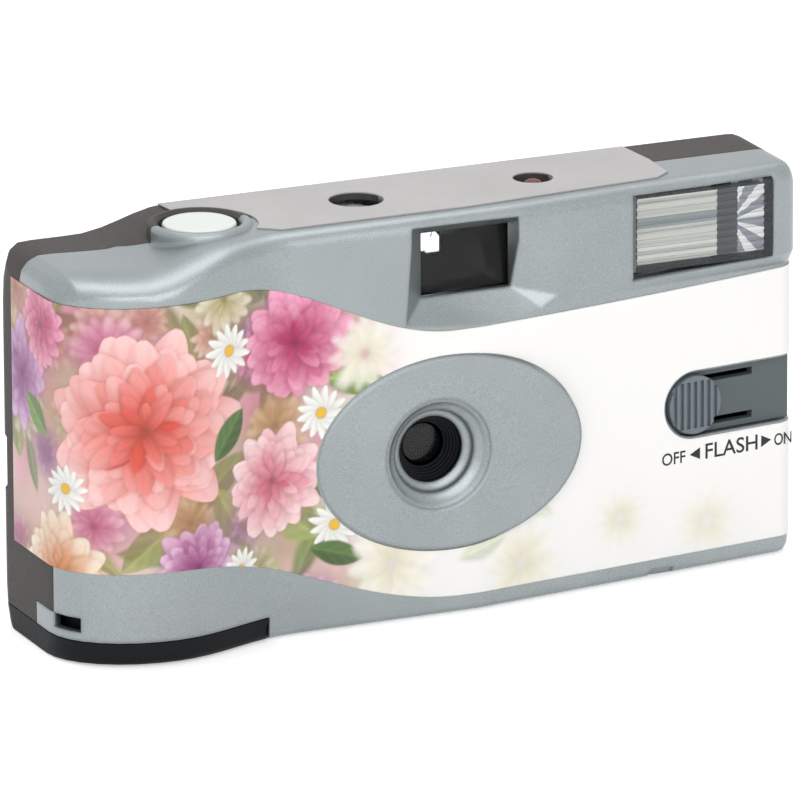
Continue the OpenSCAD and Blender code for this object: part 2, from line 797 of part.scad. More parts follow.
// Black inner frame: floor, bulkhead with aperture, light tunnel, film gate, decks and film chambers
tunnel_wall = 1.2;
gate_y = film_y(lens_x + gate_w / 2) - rail_gap - 1;
module chassis() color("#1d1d1f") difference() {
    union() {
        chassis_floor();
        chassis_bulkhead();
        chassis_tunnel();
        chassis_gate();
        chassis_decks();
        cassette_chamber();
        chassis_posts();
    }
    funnel(bulkhead_y + bulkhead_t - 0.1, [lens_x, lens_z, 7, 7], gate_y + 6, [lens_x, lens_z, gate_w + 8, gate_h + 5]);
    about_lens() translate([0, -body_d / 2]) square([aperture_r, body_d / 2]);
    sprocket_window();
    translate([roll_x, roll_y, 0]) cylinder(r = spool_pin_r + running_fit, h = deck_top + 1);
    translate([sprocket_x, sprocket_y, sprocket_z - 5]) cylinder(r = 1.2 + running_fit, h = 4.6);
    translate([sprocket_x, sprocket_y, deck_z - 1]) cylinder(r = 2 + running_fit, h = 4);
    translate([grip_x, cassette_y, lid_z - 1]) cylinder(r = hub_r + running_fit, h = 12);
    translate([hinge_x, 0, hinge_z]) rotate([90, 0, 0]) cylinder(r = pin_r + running_fit, h = body_d, center = true);
}

module chassis_floor() {
    right = roll_x + 11;
    translate([0, 0, wall]) linear_extrude(plate_t) polygon([
        [base_start, front_y + wall + 0.5], [bend_x, front_y + wall + 0.5],
        [right, face_y(right, wall) + 0.5], [right, rear_edge_y - wall - 0.3], [base_start, rear_edge_y - wall - 0.3]
    ]);
    translate([hinge_x, -lug_half, wall]) cube([base_start - hinge_x + 1, 2 * lug_half, plate_t]);
    translate([hinge_x, 0, hinge_z]) rotate([90, 0, 0]) cylinder(r = knuckle_r, h = 2 * lug_half, center = true);
    web_y = board_y + board_t;
    translate([web_x, web_y, wall]) cube([web_t, rear_edge_y - wall - 0.3 - web_y, deck_top - wall]);
    translate([web_x, web_y, gate_low]) cube([web_t, film_y(web_x) - rail_gap - 0.5 - web_y, deck_top - gate_low]);
}

module chassis_bulkhead() {
    clear_z = battery_z + battery_r + 0.5;
    left = grip_x + chamber_r - 0.7;
    right = capacitor_x - capacitor_r - 0.6;
    translate([left, bulkhead_y, clear_z]) cube([right - left, bulkhead_t, deck_top - clear_z]);
    translate([base_start, bulkhead_y, wall]) cube([1.2, bulkhead_t, deck_top - wall]);
    difference() {
        about_lens() translate([tube_in, throat_back + 0.4])
            square([tube_wall, bulkhead_y + 0.1 - throat_back - 0.4]);
        translate([lens_x - 12, blade_y - 0.3, lens_z - 5]) cube([17.5, bulkhead_y - blade_y + 0.3, 16]);
    }
    for (p = [blade_pivot, striker_pivot]) translate([p[0], bulkhead_y + 0.2, p[1]]) rotate([90, 0, 0])
        cylinder(r = 1, h = 3.2);
}

module chassis_tunnel() funnel(
    bulkhead_y + 0.2, [lens_x, lens_z, 9.4, 9.4],
    gate_y + 0.6, [lens_x, lens_z, gate_w + 2 * tunnel_wall, gate_h + 2 * tunnel_wall]
);

gate_left = sprocket_x + 1;
gate_low = 5.8;
module chassis_gate() translate([0, 0, gate_low]) linear_extrude(deck_top - gate_low) polygon(concat(
    [for (i = [0:8]) let (x = gate_left + i * (web_x + web_t - gate_left) / 8) [x, film_y(x) - rail_gap]],
    [for (i = [8:-1:0]) let (x = gate_left + i * (web_x + web_t - gate_left) / 8) [x, film_y(x) - rail_gap - 1.4]]
));

deck_front = finder_face + finder_lip + free_gap;
module chassis_decks() {
    left = grip_x + chamber_r - 0.6;
    translate([left, deck_front, deck_z]) cube([lens_x + 12 - left, rear_edge_y + 2 - deck_front, deck_top - deck_z]);
    right = roll_x + 10.5;
    near = front_y + 8.5;
    translate([lens_x + 11, near, deck_z]) cube([right - lens_x - 11, rear_edge_y + 1 - near, deck_top - deck_z]);
    translate([sprocket_x - 3, sprocket_y - 3, sprocket_z - 4])
        cube([6, film_y(sprocket_x) - 1 - sprocket_y + 3, 1.2]);
}

module cassette_chamber() difference() {
    union() {
        translate([grip_x, cassette_y, door_h + 0.5]) cylinder(r = chamber_r, h = lid_z + lid_t - door_h - 0.5);
        translate([grip_x, cassette_y, lid_z]) cylinder(r = hub_r + 1.5, h = wheel_z - 0.2 - lid_z);
    }
    translate([grip_x, cassette_y, 0]) cylinder(r = cassette_r + chamber_gap, h = lid_z);
    translate([grip_x - 20, cassette_y + 3.6, 0]) cube([40, 20, lid_z - eps]);
}

module chassis_posts() {
    translate([counter_x, top_hole_y, deck_top - eps]) cylinder(r = 1.5, h = body_h - wall - 1.4 - deck_top);
    translate([lamp_x, top_hole_y, deck_top - eps]) cylinder(r = 2.6, h = lamp_z - deck_top);
    for (side = [-1, 1]) translate([lever_x - 1.2, lever_y + lever_w / 2 + side * (lever_w / 2 + 0.75) - 0.45, deck_top - eps])
        lever_ear();
    translate([leg_x + leg_w / 2, spring_y, deck_top - eps]) cylinder(r = spring_r - 0.5, h = 3);
}

module lever_ear() difference() {
    cube([2.4, 0.9, lever_z + lever_t - deck_top]);
    translate([1.2, 0, lever_z + lever_t / 2 - deck_top]) rotate([90, 0, 0])
        cylinder(r = 0.6 + running_fit, h = 4, center = true);
}

module sprocket_window() translate([sprocket_x - 8, film_y(sprocket_x) - 3, sprocket_z - 0.6])
    cube([16, 6, 3.4]);

// Meniscus lens
module lens() color("#c8d4da", 0.5) translate([lens_x, lens_back, lens_z]) rotate([90, 0, 0]) difference() {
    intersection() {
        cylinder(r = lens_r, h = lens_t + 2);
        translate([0, 0, lens_t - 16]) sphere(r = 16);
    }
    translate([0, 0, -19.4]) sphere(r = 20);
}

// Black cone in front of the lens, with a stair of ridges
bezel_steps = 5;
bezel_in = 3;
module lens_bezel() color("#161618") {
    front = throat_back + 0.6;
    back = lens_back - lens_t - 0.1;
    rise = (back - front) / bezel_steps;
    inner = throat_inner_r - 0.4;
    tread = (inner - bezel_in) / bezel_steps;
    about_lens() polygon(concat(
        [[lens_r, back], [lens_r, front]],
        [for (i = [0:bezel_steps - 1]) each [
            [inner - i * tread, front + i * rise],
            [inner - i * tread, front + (i + 1) * rise]
        ]],
        [[inner - bezel_steps * tread, back]]
    ));
}

// Thin plate in the plane across the lens axis
module sheet(y, t) translate([0, y, 0]) rotate([90, 0, 0]) linear_extrude(t) children();

module shutter_blade() color("#303236") sheet(blade_y + blade_t, blade_t) difference() {
    union() {
        hull() {
            translate(blade_pivot) circle(r = 1.9, $fn = 32);
            translate([lens_x, lens_z]) circle(r = aperture_r + 1.2, $fn = 32);
        }
        hull() {
            translate(blade_pivot) circle(r = 1.9, $fn = 32);
            translate(blade_pivot + [-3, 3.5]) circle(r = 0.9, $fn = 32);
        }
    }
    translate(blade_pivot) circle(r = 1 + running_fit);
}

striker_y = blade_y - 0.3;
striker_t = 1;
module striker() color("#8a8d90") sheet(striker_y, striker_t) difference() {
    union() {
        translate(striker_pivot) circle(r = 2.2);
        hull() {
            translate(striker_pivot) circle(r = 1.5, $fn = 32);
            translate(striker_pivot + [1.7, -5]) circle(r = 0.8, $fn = 32);
        }
        hull() {
            translate(striker_pivot) circle(r = 1.5, $fn = 32);
            translate(striker_pivot + [-5.5, 2]) circle(r = 0.8, $fn = 32);
        }
    }
    translate(striker_pivot) circle(r = 1 + running_fit);
}

// Round wire wound about Z from z = 0
module coil(r, wire_r, pitch, turns) {
    ring_steps = 12;
    sides = 6;
    count = ring_steps * turns;
    points = [
        for (i = [0:count]) let (a = 360 * i / ring_steps) for (j = [0:sides - 1])
            let (b = 360 * j / sides, q = r + wire_r * cos(b))
                [q * cos(a), q * sin(a), wire_r + pitch * i / ring_steps + wire_r * sin(b)]
    ];
    skin = [
        for (i = [0:count - 1]) for (j = [0:sides - 1]) let (k = (j + 1) % sides, m = i * sides)
            each [[m + j, m + sides + j, m + sides + k], [m + j, m + sides + k, m + k]]
    ];
    first = [for (j = [0:sides - 1]) j];
    end = [for (j = [sides - 1:-1:0]) count * sides + j];
    polyhedron(points, concat(skin, [first, end]));
}

module striker_spring() color("silver")
    translate([striker_pivot[0], striker_y - striker_t - 0.3, striker_pivot[1]]) rotate([90, 0, 0])
        coil(1.45, 0.15, 0.45, 2);

// Rocker under the leg of the button
lever_half = 6.6;
module release_lever() color("#d8d5cc") {
    translate([lever_x - lever_half, lever_y, lever_z]) cube([2 * lever_half, lever_w, lever_t]);
    translate([lever_x, lever_y + lever_w / 2, lever_z + lever_t / 2]) rotate([90, 0, 0])
        cylinder(r = 0.6, h = lever_w + 2.2, center = true);
}

// White cap with the arm and leg that reach down past the thumb wheel
button_low = wheel_z + wheel_t + free_gap + button_travel;
button_top = body_h + ring_h - 0.1;
arm_t = 1;
leg_bottom = lever_z + lever_t + 0.3;
module shutter_button() color("#f2f0ea") {
    translate([button_x, button_y, 0]) rotate_extrude() polygon([
        [0, button_low], [button_r, button_low], [button_r, button_top - 0.5],
        [button_r - 0.15, button_top - 0.2], [button_r - 0.5, button_top - 0.05], [button_r - 1.6, button_top],
        [0, button_top - 0.15]
    ]);
    translate([button_x, lever_y, button_low]) cube([leg_x + leg_w - button_x, 8.2, arm_t]);
    translate([leg_x, lever_y, leg_bottom]) cube([leg_w, lever_w, button_low + arm_t - leg_bottom]);
}

spring_turns = 6;
module button_spring() color("silver") translate([leg_x + leg_w / 2, spring_y, deck_top])
    coil(spring_r, 0.2, (button_low - deck_top - 0.5) / spring_turns, spring_turns);

module thumb_wheel() color("#26262a") translate([grip_x, cassette_y, 0]) difference() {
    union() {
        translate([0, 0, wheel_z]) cylinder(r = wheel_r, h = wheel_t);
        translate([0, 0, lid_z + 0.2]) cylinder(r = hub_r, h = wheel_z - lid_z);
    }
    for (i = [0:wheel_notches - 1]) rotate([0, 0, i * 360 / wheel_notches])
        translate([wheel_r + 0.25, 0, wheel_z - 1]) cylinder(r = 0.6, h = wheel_t + 2, $fn = 16);
    difference() {
        translate([0, 0, lid_z - 1]) cylinder(r = nub_r + 0.4, h = nub_top + 1.4 - lid_z);
        translate([-hub_r, -0.5, nub_top - 1.6]) cube([2 * hub_r, 1, 4]);
    }
    translate([0, 0, wheel_z + wheel_t - 0.8]) difference() {
        cylinder(r = wheel_r - 2, h = 2);
        translate([0, 0, -1]) cylinder(r = hub_r, h = 4);
    }
}

// Leaf that rides against the notches of the wheel and stops it turning back
module wheel_pawl() color("#c9a24a") {
    x0 = grip_x + wheel_r + 0.4;
    translate([x0, cassette_y - 7, wheel_z + 0.6]) cube([0.5, 9, 1.8]);
    translate([x0, cassette_y - 8, deck_top]) cube([1.6, 1.4, wheel_z + 2.4 - deck_top]);
}

module film_sprocket() color("#3a3a3e") translate([sprocket_x, sprocket_y, 0]) {
    translate([0, 0, sprocket_z]) cylinder(r = sprocket_r - 0.3, h = 2.2);
    for (i = [0:7]) rotate([0, 0, 45 * i]) translate([sprocket_r - 1, -0.6, sprocket_z + 0.4])
        cube([1 + tooth_h - 0.05, 1.2, 1.4]);
    translate([0, 0, sprocket_z + 2]) cylinder(r = 2, h = deck_top + 1.6 - sprocket_z - 2);
    translate([0, 0, sprocket_z - 3.6]) cylinder(r = 1.2, h = 4);
    translate([0, 0, deck_top + 0.3]) difference() {
        cylinder(r = 4, h = 1.2);
        translate([2.6, -2, -1]) cube([3, 4, 4]);
    }
}

module counter_disc() color("#e8e6e0") translate([counter_x, top_hole_y, 0]) difference() {
    union() {
        translate([0, 0, disc_z]) cylinder(r = counter_r, h = 0.8);
        translate([0, 0, disc_z - 3]) cylinder(r = 3, h = 3.4);
    }
    translate([0, 0, disc_z - 4]) cylinder(r = 1.5 + running_fit, h = 8);
    for (i = [0:35]) rotate([0, 0, 10 * i]) translate([counter_r + 0.2, 0, disc_z - 1])
        cylinder(r = 0.5, h = 3, $fn = 16);
}

module counter_window() color("#dfe8ea", 0.4) translate([counter_hole_x, top_hole_y, body_h - wall - 0.7]) {
    cylinder(r = counter_hole_r + 0.8, h = 0.7);
    cylinder(r = counter_hole_r - 0.1, h = 1.2);
}

cap_over = 2.4;
module cassette_shell() color("#4a6fa0") difference() {
    union() {
        translate([grip_x, cassette_y, cassette_z + 0.8]) cylinder(r = cassette_r - 0.25, h = cassette_h - 1.6);
        translate([grip_x + 4, cassette_y + cassette_r - 4.5, film_low - 0.6]) cube([cassette_r - 4, 3.6, film_w + 1.2]);
    }
    translate([grip_x, cassette_y, cassette_z]) cylinder(r = cassette_r - 0.7, h = cassette_h);
    translate([grip_x, cassette_y + cassette_r - 2.9, film_low - 0.2]) cube([20, 0.6, film_w + 0.4]);
}

module cassette_caps() color("#2c2c30") for (top = [0, 1])
    translate([grip_x, cassette_y, cassette_z + top * cassette_h]) mirror([0, 0, top]) difference() {
        cylinder(r = cassette_r, h = cap_over);
        translate([0, 0, 0.7]) cylinder(r = cassette_r - 0.2, h = cap_over);
        translate([0, 0, -1]) cylinder(r = 4.2, h = 4);
    }

module cassette_spool() color("#1b1b1e") translate([grip_x, cassette_y, 0]) difference() {
    union() {
        translate([0, 0, film_low - 1]) cylinder(r = 5.5, h = film_w + 2);
        for (z = [film_low - 2, film_low + film_w + 1]) translate([0, 0, z]) cylinder(r = cassette_r - 1.2, h = 1);
        translate([0, 0, cassette_z]) cylinder(r = 3.8, h = cassette_h + 0.2);
        cylinder_between(nub_r, cassette_top, nub_top);
    }
    translate([-hub_r, -0.8, nub_top - 2]) cube([2 * hub_r, 1.6, 4]);
}

module cylinder_between(r, z0, z1) translate([0, 0, z0]) cylinder(r = r, h = z1 - z0);

// Film from the lip of the cassette across the gate to the roll
film_path = concat(
    [[grip_x + cassette_r - 2.5, cassette_y + cassette_r - 2.6],
     [grip_x + cassette_r + 0.1, cassette_y + cassette_r - 2.6],
     [sprocket_x - 5, film_y(sprocket_x - 5) - 0.9]],
    [for (i = [0:10]) let (x = sprocket_x + i * (web_x + 1.5 - sprocket_x) / 10) [x, film_y(x)]],
    [[roll_x - 1, roll_y + roll_r + 0.45]]
);
module film_strip() color("#4a2f22") translate([0, 0, film_low]) linear_extrude(film_w) polygon(concat(
    [for (p = film_path) p + [0, film_t / 2]],
    reversed([for (p = film_path) p - [0, film_t / 2]])
));

module film_roll() color("#5a3a2a") translate([roll_x, roll_y, film_low]) difference() {
    cylinder(r = roll_r, h = film_w);
    translate([0, 0, -1]) cylinder(r = core_r + running_fit, h = film_w + 2);
}

module supply_spool() color("#26262a") translate([roll_x, roll_y, 0]) {
    cylinder_between(core_r, film_low - 1.4, film_low + film_w + 1.4);
    for (z = [film_low - 1.4, film_low + film_w + 0.2]) cylinder_between(roll_r + 0.2, z, z + 1.2);
    cylinder_between(spool_pin_r, wall + 0.3, deck_top - 0.2);
}

front_block = [finder_x, finder_z, finder_w + 1, finder_h + 0.8];
module finder_front_lens() color("#dfe8ea", 0.4) difference() {
    funnel(
        finder_face + finder_lip + block_gap, front_block,
        finder_face + finder_lip + block_gap + 1.3, front_block
    );
    translate([finder_x, finder_face + finder_lip + block_gap + 1.3 + 23.3, finder_z]) sphere(r = 24, $fn = 200);
}

tube_y = finder_face + finder_lip + block_gap + 1.4;
tube_t = 0.9;
tube_low = deck_top;
tube_high = body_h - wall - 0.6;
module finder_tube() color("#1b1b1e") {
    front = [finder_x, (tube_low + tube_high) / 2, finder_w + 2, tube_high - tube_low];
    back_h = eyepiece[1] + eyepiece[3] / 2 + tube_t - tube_low;
    back = [finder_x, tube_low + back_h / 2, eyepiece[2] + 2, back_h];
    difference() {
        funnel(tube_y, front, tube_end_y, back);
        funnel(tube_y - eps, shrink(front), tube_end_y + eps, shrink(back));
    }
}
function shrink(q) = [q[0], q[1], q[2] - 2 * tube_t, q[3] - 2 * tube_t];

module eyepiece_lens() color("#dfe8ea", 0.4) {
    q = [eyepiece[0], eyepiece[1], eyepiece[2] - 0.4, eyepiece[3] - 0.4];
    funnel(tube_end_y + 0.1, q, tube_end_y + 1.5, q);
}

// Clear window that stands out of its recess, with ribs on its inner face
window_t = 3.4;
window_ribs = 9;
module flash_window() color("#e6eef0", 0.4) {
    q = [flash_x, flash_z, flash_w, flash_h];
    difference() {
        funnel(flash_face - 1.5, q, flash_face + window_t - 1.5, q);
        inner = [flash_x, flash_z, flash_w - 1.6, flash_h - 1.6];
        funnel(flash_face - 0.3, inner, flash_face + window_t, inner);
    }
    pitch = (flash_h - 1.6) / window_ribs;
    for (i = [0:window_ribs - 1]) translate([flash_x, flash_face - 0.3, flash_z + (i - (window_ribs - 1) / 2) * pitch])
        rotate([0, 90, 0]) cylinder(r = 0.25, h = flash_w - 1.6, center = true, $fn = 16);
}

reflector_y = flash_face + window_t - 1.5 + 0.2;
reflector_d = 7;
tube_place = [reflector_y + reflector_d - 3.2, flash_z];
module flash_reflector() color("#d5d8da") difference() {
    outer = [flash_x, flash_z, flash_w - 0.6, flash_h - 0.2];
    union() {
        funnel(reflector_y, outer, reflector_y + reflector_d, [flash_x, flash_z, flash_w - 2.6, 5]);
        translate([flash_x - 4, reflector_y + 0.4, deck_top]) cube([8, 1.6, flash_z - flash_h / 2 - deck_top + 0.6]);
    }
    hull() {
        funnel(reflector_y - 1, [flash_x, flash_z, flash_w - 1.6, flash_h - 1.2],
            reflector_y, [flash_x, flash_z, flash_w - 1.6, flash_h - 1.2]);
        translate([flash_x, tube_place[0], flash_z]) rotate([0, 90, 0])
            cylinder(r = tube_r + 0.5, h = flash_w - 4.6, center = true, $fn = 32);
    }
    translate([flash_x, tube_place[0], tube_place[1]]) rotate([0, 90, 0])
        cylinder(r = tube_r + 0.1, h = body_w, center = true);
}

module flash_tube() color("#eef4f6", 0.6) translate([flash_x, tube_place[0], tube_place[1]]) rotate([0, 90, 0]) {
    cylinder(r = tube_r, h = flash_w + 0.4, center = true);
    cylinder(r = 0.4, h = flash_w + 4, center = true);
}

module circuit_board() color("#2f6b45") difference() {
    translate([board_x, board_y, board_z]) cube([board_w, board_t, deck_z - 0.4 - board_z]);
    for (z = [board_z + 3, deck_z - 3.4]) translate([board_x + 2, board_y + 1, z]) rotate([90, 0, 0])
        cylinder(r = 0.9, h = 4, center = true);
}

module flash_capacitor() color("#2a2d3a") translate([capacitor_x, capacitor_y, capacitor_z]) difference() {
    union() {
        cylinder(r = capacitor_r, h = capacitor_l);
        for (side = [-1, 1]) translate([side * 1.6, 0, -1.2]) cylinder(r = 0.4, h = 2);
    }
    translate([0, 0, 2.2]) rotate_extrude() translate([capacitor_r + 0.4, 0]) circle(r = 0.8);
}

module transformer() color("#c7a437") translate([board_x + 0.3, board_y + board_t, board_z + 5]) {
    cube([4.6, 5.4, 1.4]);
    translate([0.6, 0.6, 1.4 - eps]) cube([3.4, 4.2, 6]);
    translate([0, 0, 7.3]) cube([4.6, 5.4, 1.4]);
}

module battery() color("#3f6f5b") translate([battery_x, battery_y, battery_z]) rotate([0, 90, 0]) {
    cylinder(r = battery_r, h = battery_l - 0.8, center = true);
    translate([0, 0, battery_l / 2 - 0.5]) cylinder(r = 1.9, h = 1.2);
}

contact_t = 0.4;
module battery_contacts() color("#cfd2d4") for (side = [-1, 1]) {
    x = battery_x + side * (battery_l / 2 + 0.9 + contact_t / 2);
    translate([x - contact_t / 2, battery_y - 3.5, wall + plate_t]) cube([contact_t, 7, battery_z + 3 - wall - plate_t]);
    translate([x, battery_y - 3.5, wall + plate_t]) cube([1.2, 7, contact_t]);
}

module ready_lamp() color("#d9803a") translate([lamp_x, top_hole_y, lamp_z]) rotate_extrude() intersection() {
    union() {
        square([2.2, body_h - wall - 0.8 - lamp_z]);
        translate([0, body_h - wall - 0.8 - lamp_z]) circle(r = 2.2);
    }
    square([3, 20]);
}

// Plate in the switch slot: its face lies below the label face, and a flange behind the wall holds it
track_face = 1;
track_back = wall + 1.1;
prong_w = 3;
prong_h = 0.7;
prong_z = knob_r - 1.1;
bridge_t = 0.3;
slot_len = half_w - knob_x - 0.3;
module switch_track() color("#4d5256") intersection() {
    on_face(knob_x, switch_z) difference() {
        union() {
            stadium(knob_r + knob_gap - seam_gap, slot_len, track_face, wall + 0.2);
            stadium(knob_r + knob_gap + 1, slot_len - wall, wall + 0.1, track_back);
        }
        for (side = [-1, 1]) translate([-prong_w / 2 - 0.2, 0, side * prong_z - prong_h / 2 - 0.2])
            cube([prong_w + switch_travel + 0.4, 2 * track_back, prong_h + 0.4]);
    }
    translate([-half_w, -body_d, 0]) cube([body_w, 2 * body_d, body_h]);
}

knob_ribs = 6;
rib_pitch = 1.15;
module flash_switch() color("#59636b") on_face(knob_x, switch_z) {
    difference() {
        translate([0, track_face - 0.08, 0]) rotate([90, 0, 0]) cylinder(r = knob_r, h = track_face + 0.35);
        for (i = [0:knob_ribs]) translate([(i - knob_ribs / 2) * rib_pitch - 0.3, -0.8, -knob_r * 0.8])
            cube([0.6, 0.9, knob_r * 1.6]);
    }
    for (side = [-1, 1]) translate([-prong_w / 2, track_face - 0.2, side * prong_z - prong_h / 2])
        cube([prong_w, track_back + 0.4 - track_face, prong_h]);
    translate([-prong_w / 2, track_back + 0.1, -prong_z - prong_h / 2])
        cube([prong_w, bridge_t, 2 * prong_z + prong_h]);
}

module switch_contact() color("#c9a24a") on_face(knob_x, switch_z) {
    length = switch_travel + 6;
    translate([-3, track_back + 0.7, -1.2]) cube([length, 0.3, 2.4]);
    for (x = [-3, length - 4]) translate([x, track_back, -1.2]) cube([1, 0.8, 2.4]);
}

front_cover();
rear_cover();
film_door();
door_hinge_pin();
front_label();
top_label();
chassis();
lens();
lens_bezel();
shutter_blade();
striker();
striker_spring();
release_lever();
shutter_button();
button_spring();
thumb_wheel();
wheel_pawl();
film_sprocket();
counter_disc();
counter_window();
cassette_shell();
cassette_caps();
cassette_spool();
film_strip();
film_roll();
supply_spool();
finder_front_lens();
finder_tube();
eyepiece_lens();
flash_window();
flash_reflector();
flash_tube();
circuit_board();
flash_capacitor();
transformer();
battery();
battery_contacts();
ready_lamp();
flash_switch();
switch_track();
switch_contact();
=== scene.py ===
"""Looks of the single-use flash camera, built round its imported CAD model."""
import json
import math

import bmesh
import bpy
import numpy as np
from mathutils import Matrix, Vector


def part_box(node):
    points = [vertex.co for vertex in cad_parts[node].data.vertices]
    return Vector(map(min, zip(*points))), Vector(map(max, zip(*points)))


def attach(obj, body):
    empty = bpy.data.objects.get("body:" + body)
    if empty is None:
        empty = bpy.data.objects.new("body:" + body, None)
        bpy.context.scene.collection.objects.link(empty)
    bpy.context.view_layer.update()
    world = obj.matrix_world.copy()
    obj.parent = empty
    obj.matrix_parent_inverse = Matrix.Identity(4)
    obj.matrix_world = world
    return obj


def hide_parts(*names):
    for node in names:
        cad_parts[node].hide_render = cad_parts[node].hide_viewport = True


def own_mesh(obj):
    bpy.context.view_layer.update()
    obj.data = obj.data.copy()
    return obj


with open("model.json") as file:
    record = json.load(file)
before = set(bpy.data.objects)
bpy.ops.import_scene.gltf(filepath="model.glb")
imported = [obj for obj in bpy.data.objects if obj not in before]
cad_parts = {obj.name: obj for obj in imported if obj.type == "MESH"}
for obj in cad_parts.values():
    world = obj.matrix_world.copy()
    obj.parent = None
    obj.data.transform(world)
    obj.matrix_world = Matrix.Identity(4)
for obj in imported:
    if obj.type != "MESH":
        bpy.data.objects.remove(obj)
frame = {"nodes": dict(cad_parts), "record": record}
NODES = frame["nodes"]
RECORD = frame["record"]
BODY = {node: body for body, members in RECORD["behaviour"]["bodies"].items() for node in members}
SLOT = {part["node"]: part["material_slot"] for part in RECORD["subparts"]}
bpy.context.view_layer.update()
MM = 0.001
rng = np.random.default_rng(35)

# Plan of the body in millimetres, as in the CAD source
HALF_W = 59.25
GRIP_X = -43.65
GRIP_REACH = 15.6
GRIP_ROUND = 11.4
GRIP_FADE = 20.4
GRIP_SWELL = 5.0
FRONT_Y = -12.5
SIDE_Y = -6.1
FLAT_X = GRIP_X + GRIP_FADE
BEND_X = 5.6
FACE_TAPER = 0.128
TURN = math.atan(FACE_TAPER)
END_R = 2.5

# Openings of the label: the lens oval with some room round it, and the slot of the switch
OVAL_X = 1.0
OVAL_Z = 24.5
OVAL_RX = 20.8
OVAL_RZ = 14.4
OVAL_ROOM = 0.3
KNOB_X = 42.05
SWITCH_Z = 25.25
SLOT_R = 5.2

# Label: thickness, heights of its edges on the grip and beside it, where they fall, and its two ends
LABEL_T = 0.2
LABEL_HIGH = 53.2
LABEL_MID = 42.7
LABEL_RISE = 1.3
LABEL_FOOT = 13.8
LABEL_LOW = 2.7
LABEL_LEAD = 9.65
LABEL_X = GRIP_X + LABEL_LEAD
LABEL_W = 36.0
FOOT_LEAD = 10.0
FOOT_LATE = 1.0
LABEL_BACK_Y = 6.28
LABEL_STOP_Y = -1.5


def corner(d, r):
    """Set-back of a round corner of radius r at the distance d into it."""
    d = np.clip(d, 0, r)
    return r - np.sqrt(np.maximum(0, r * r - d * d))


def fall(x, start, width):
    """A smooth step from 1 to 0 that begins at start."""
    t = np.clip((x - start) / width, 0, 1)
    return (1 + np.cos(np.pi * t)) / 2


def face_y(x, s):
    """Depth of the front in plan, set in by s from the skin."""
    x = np.asarray(x, float)
    across_grip = (x - GRIP_X) / (GRIP_REACH - s)
    flank = SIDE_Y - (GRIP_ROUND - s) * np.sqrt(np.maximum(0, 1 - across_grip ** 2))
    fade = FRONT_Y + s - GRIP_SWELL * fall(x, GRIP_X, GRIP_FADE)
    taper = np.maximum(0, x - BEND_X) * FACE_TAPER
    flat = FRONT_Y + s + taper + corner(x - (HALF_W - END_R), END_R - s)
    return np.where(x < GRIP_X, flank, np.where(x < FLAT_X, fade, flat))


def label_top(x):
    crown = LABEL_RISE * (np.maximum(0, x - LABEL_X - LABEL_W) / HALF_W) ** 2
    return LABEL_MID + (LABEL_HIGH - LABEL_MID) * fall(x, LABEL_X, LABEL_W) + crown


def label_bottom(x):
    drop = fall(x, LABEL_X - FOOT_LEAD, LABEL_W + FOOT_LEAD + FOOT_LATE)
    return LABEL_LOW + (LABEL_FOOT - LABEL_LOW) * drop


def add_object(name, data):
    obj = bpy.data.objects.new(name, data)
    bpy.context.scene.collection.objects.link(obj)
    return obj


# Shader building blocks

NOISE_DETAIL = 2
NOISE_ROUGHNESS = 0.55
NOISE_LOW, NOISE_HIGH = 0.3, 0.7

# Colour sockets of a mix node: first, second and result
MIX_FIRST, MIX_SECOND, MIX_RESULT = 6, 7, 2


def srgb(*c):
    """Linear colour of 0 to 255 display values."""
    c = np.asarray(c, float) / 255
    return np.where(c <= 0.04045, c / 12.92, ((c + 0.055) / 1.055) ** 2.4)


def new_material(name):
    m = bpy.data.materials.new(name)
    m.use_nodes = True
    m.node_tree.nodes.clear()
    out = m.node_tree.nodes.new("ShaderNodeOutputMaterial")
    shader = m.node_tree.nodes.new("ShaderNodeBsdfPrincipled")
    m.node_tree.links.new(shader.outputs[0], out.inputs["Surface"])
    return m, m.node_tree, shader


def feed(tree, socket, value):
    """Give a socket a node's output, a number or a colour."""
    if isinstance(value, bpy.types.NodeSocket):
        tree.links.new(value, socket)
    elif isinstance(value, (int, float)):
        socket.default_value = value
    else:
        socket.default_value = (*value, 1)


def noise_node(tree, scale):
    coord = tree.nodes.new("ShaderNodeTexCoord")
    noise = tree.nodes.new("ShaderNodeTexNoise")
    noise.inputs["Scale"].default_value = scale
    noise.inputs["Detail"].default_value = NOISE_DETAIL
    noise.inputs["Roughness"].default_value = NOISE_ROUGHNESS
    tree.links.new(coord.outputs["Object"], noise.inputs["Vector"])
    return noise.outputs["Fac"]


def spread(tree, noise, low, high):
    """A value that runs from low to high over the middle of a noise."""
    m = tree.nodes.new("ShaderNodeMapRange")
    m.inputs["From Min"].default_value = NOISE_LOW
    m.inputs["From Max"].default_value = NOISE_HIGH
    m.inputs["To Min"].default_value = low
    m.inputs["To Max"].default_value = high
    tree.links.new(noise, m.inputs["Value"])
    return m.outputs[0]


def math_node(tree, operation, first, second=0.0):
    """The result of an operation on one or two values, each a number or a node's output."""
    n = tree.nodes.new("ShaderNodeMath")
    n.operation = operation
    feed(tree, n.inputs[0], first)
    feed(tree, n.inputs[1], second)
    return n.outputs[0]


def mix_colours(tree, factor, first, second, blend="MIX"):
    """A mix of two colours, each a fixed one or a node's output."""
    mix = tree.nodes.new("ShaderNodeMix")
    mix.data_type = "RGBA"
    mix.blend_type = blend
    feed(tree, mix.inputs["Factor"], factor)
    feed(tree, mix.inputs[MIX_FIRST], first)
    feed(tree, mix.inputs[MIX_SECOND], second)
    return mix.outputs[MIX_RESULT]


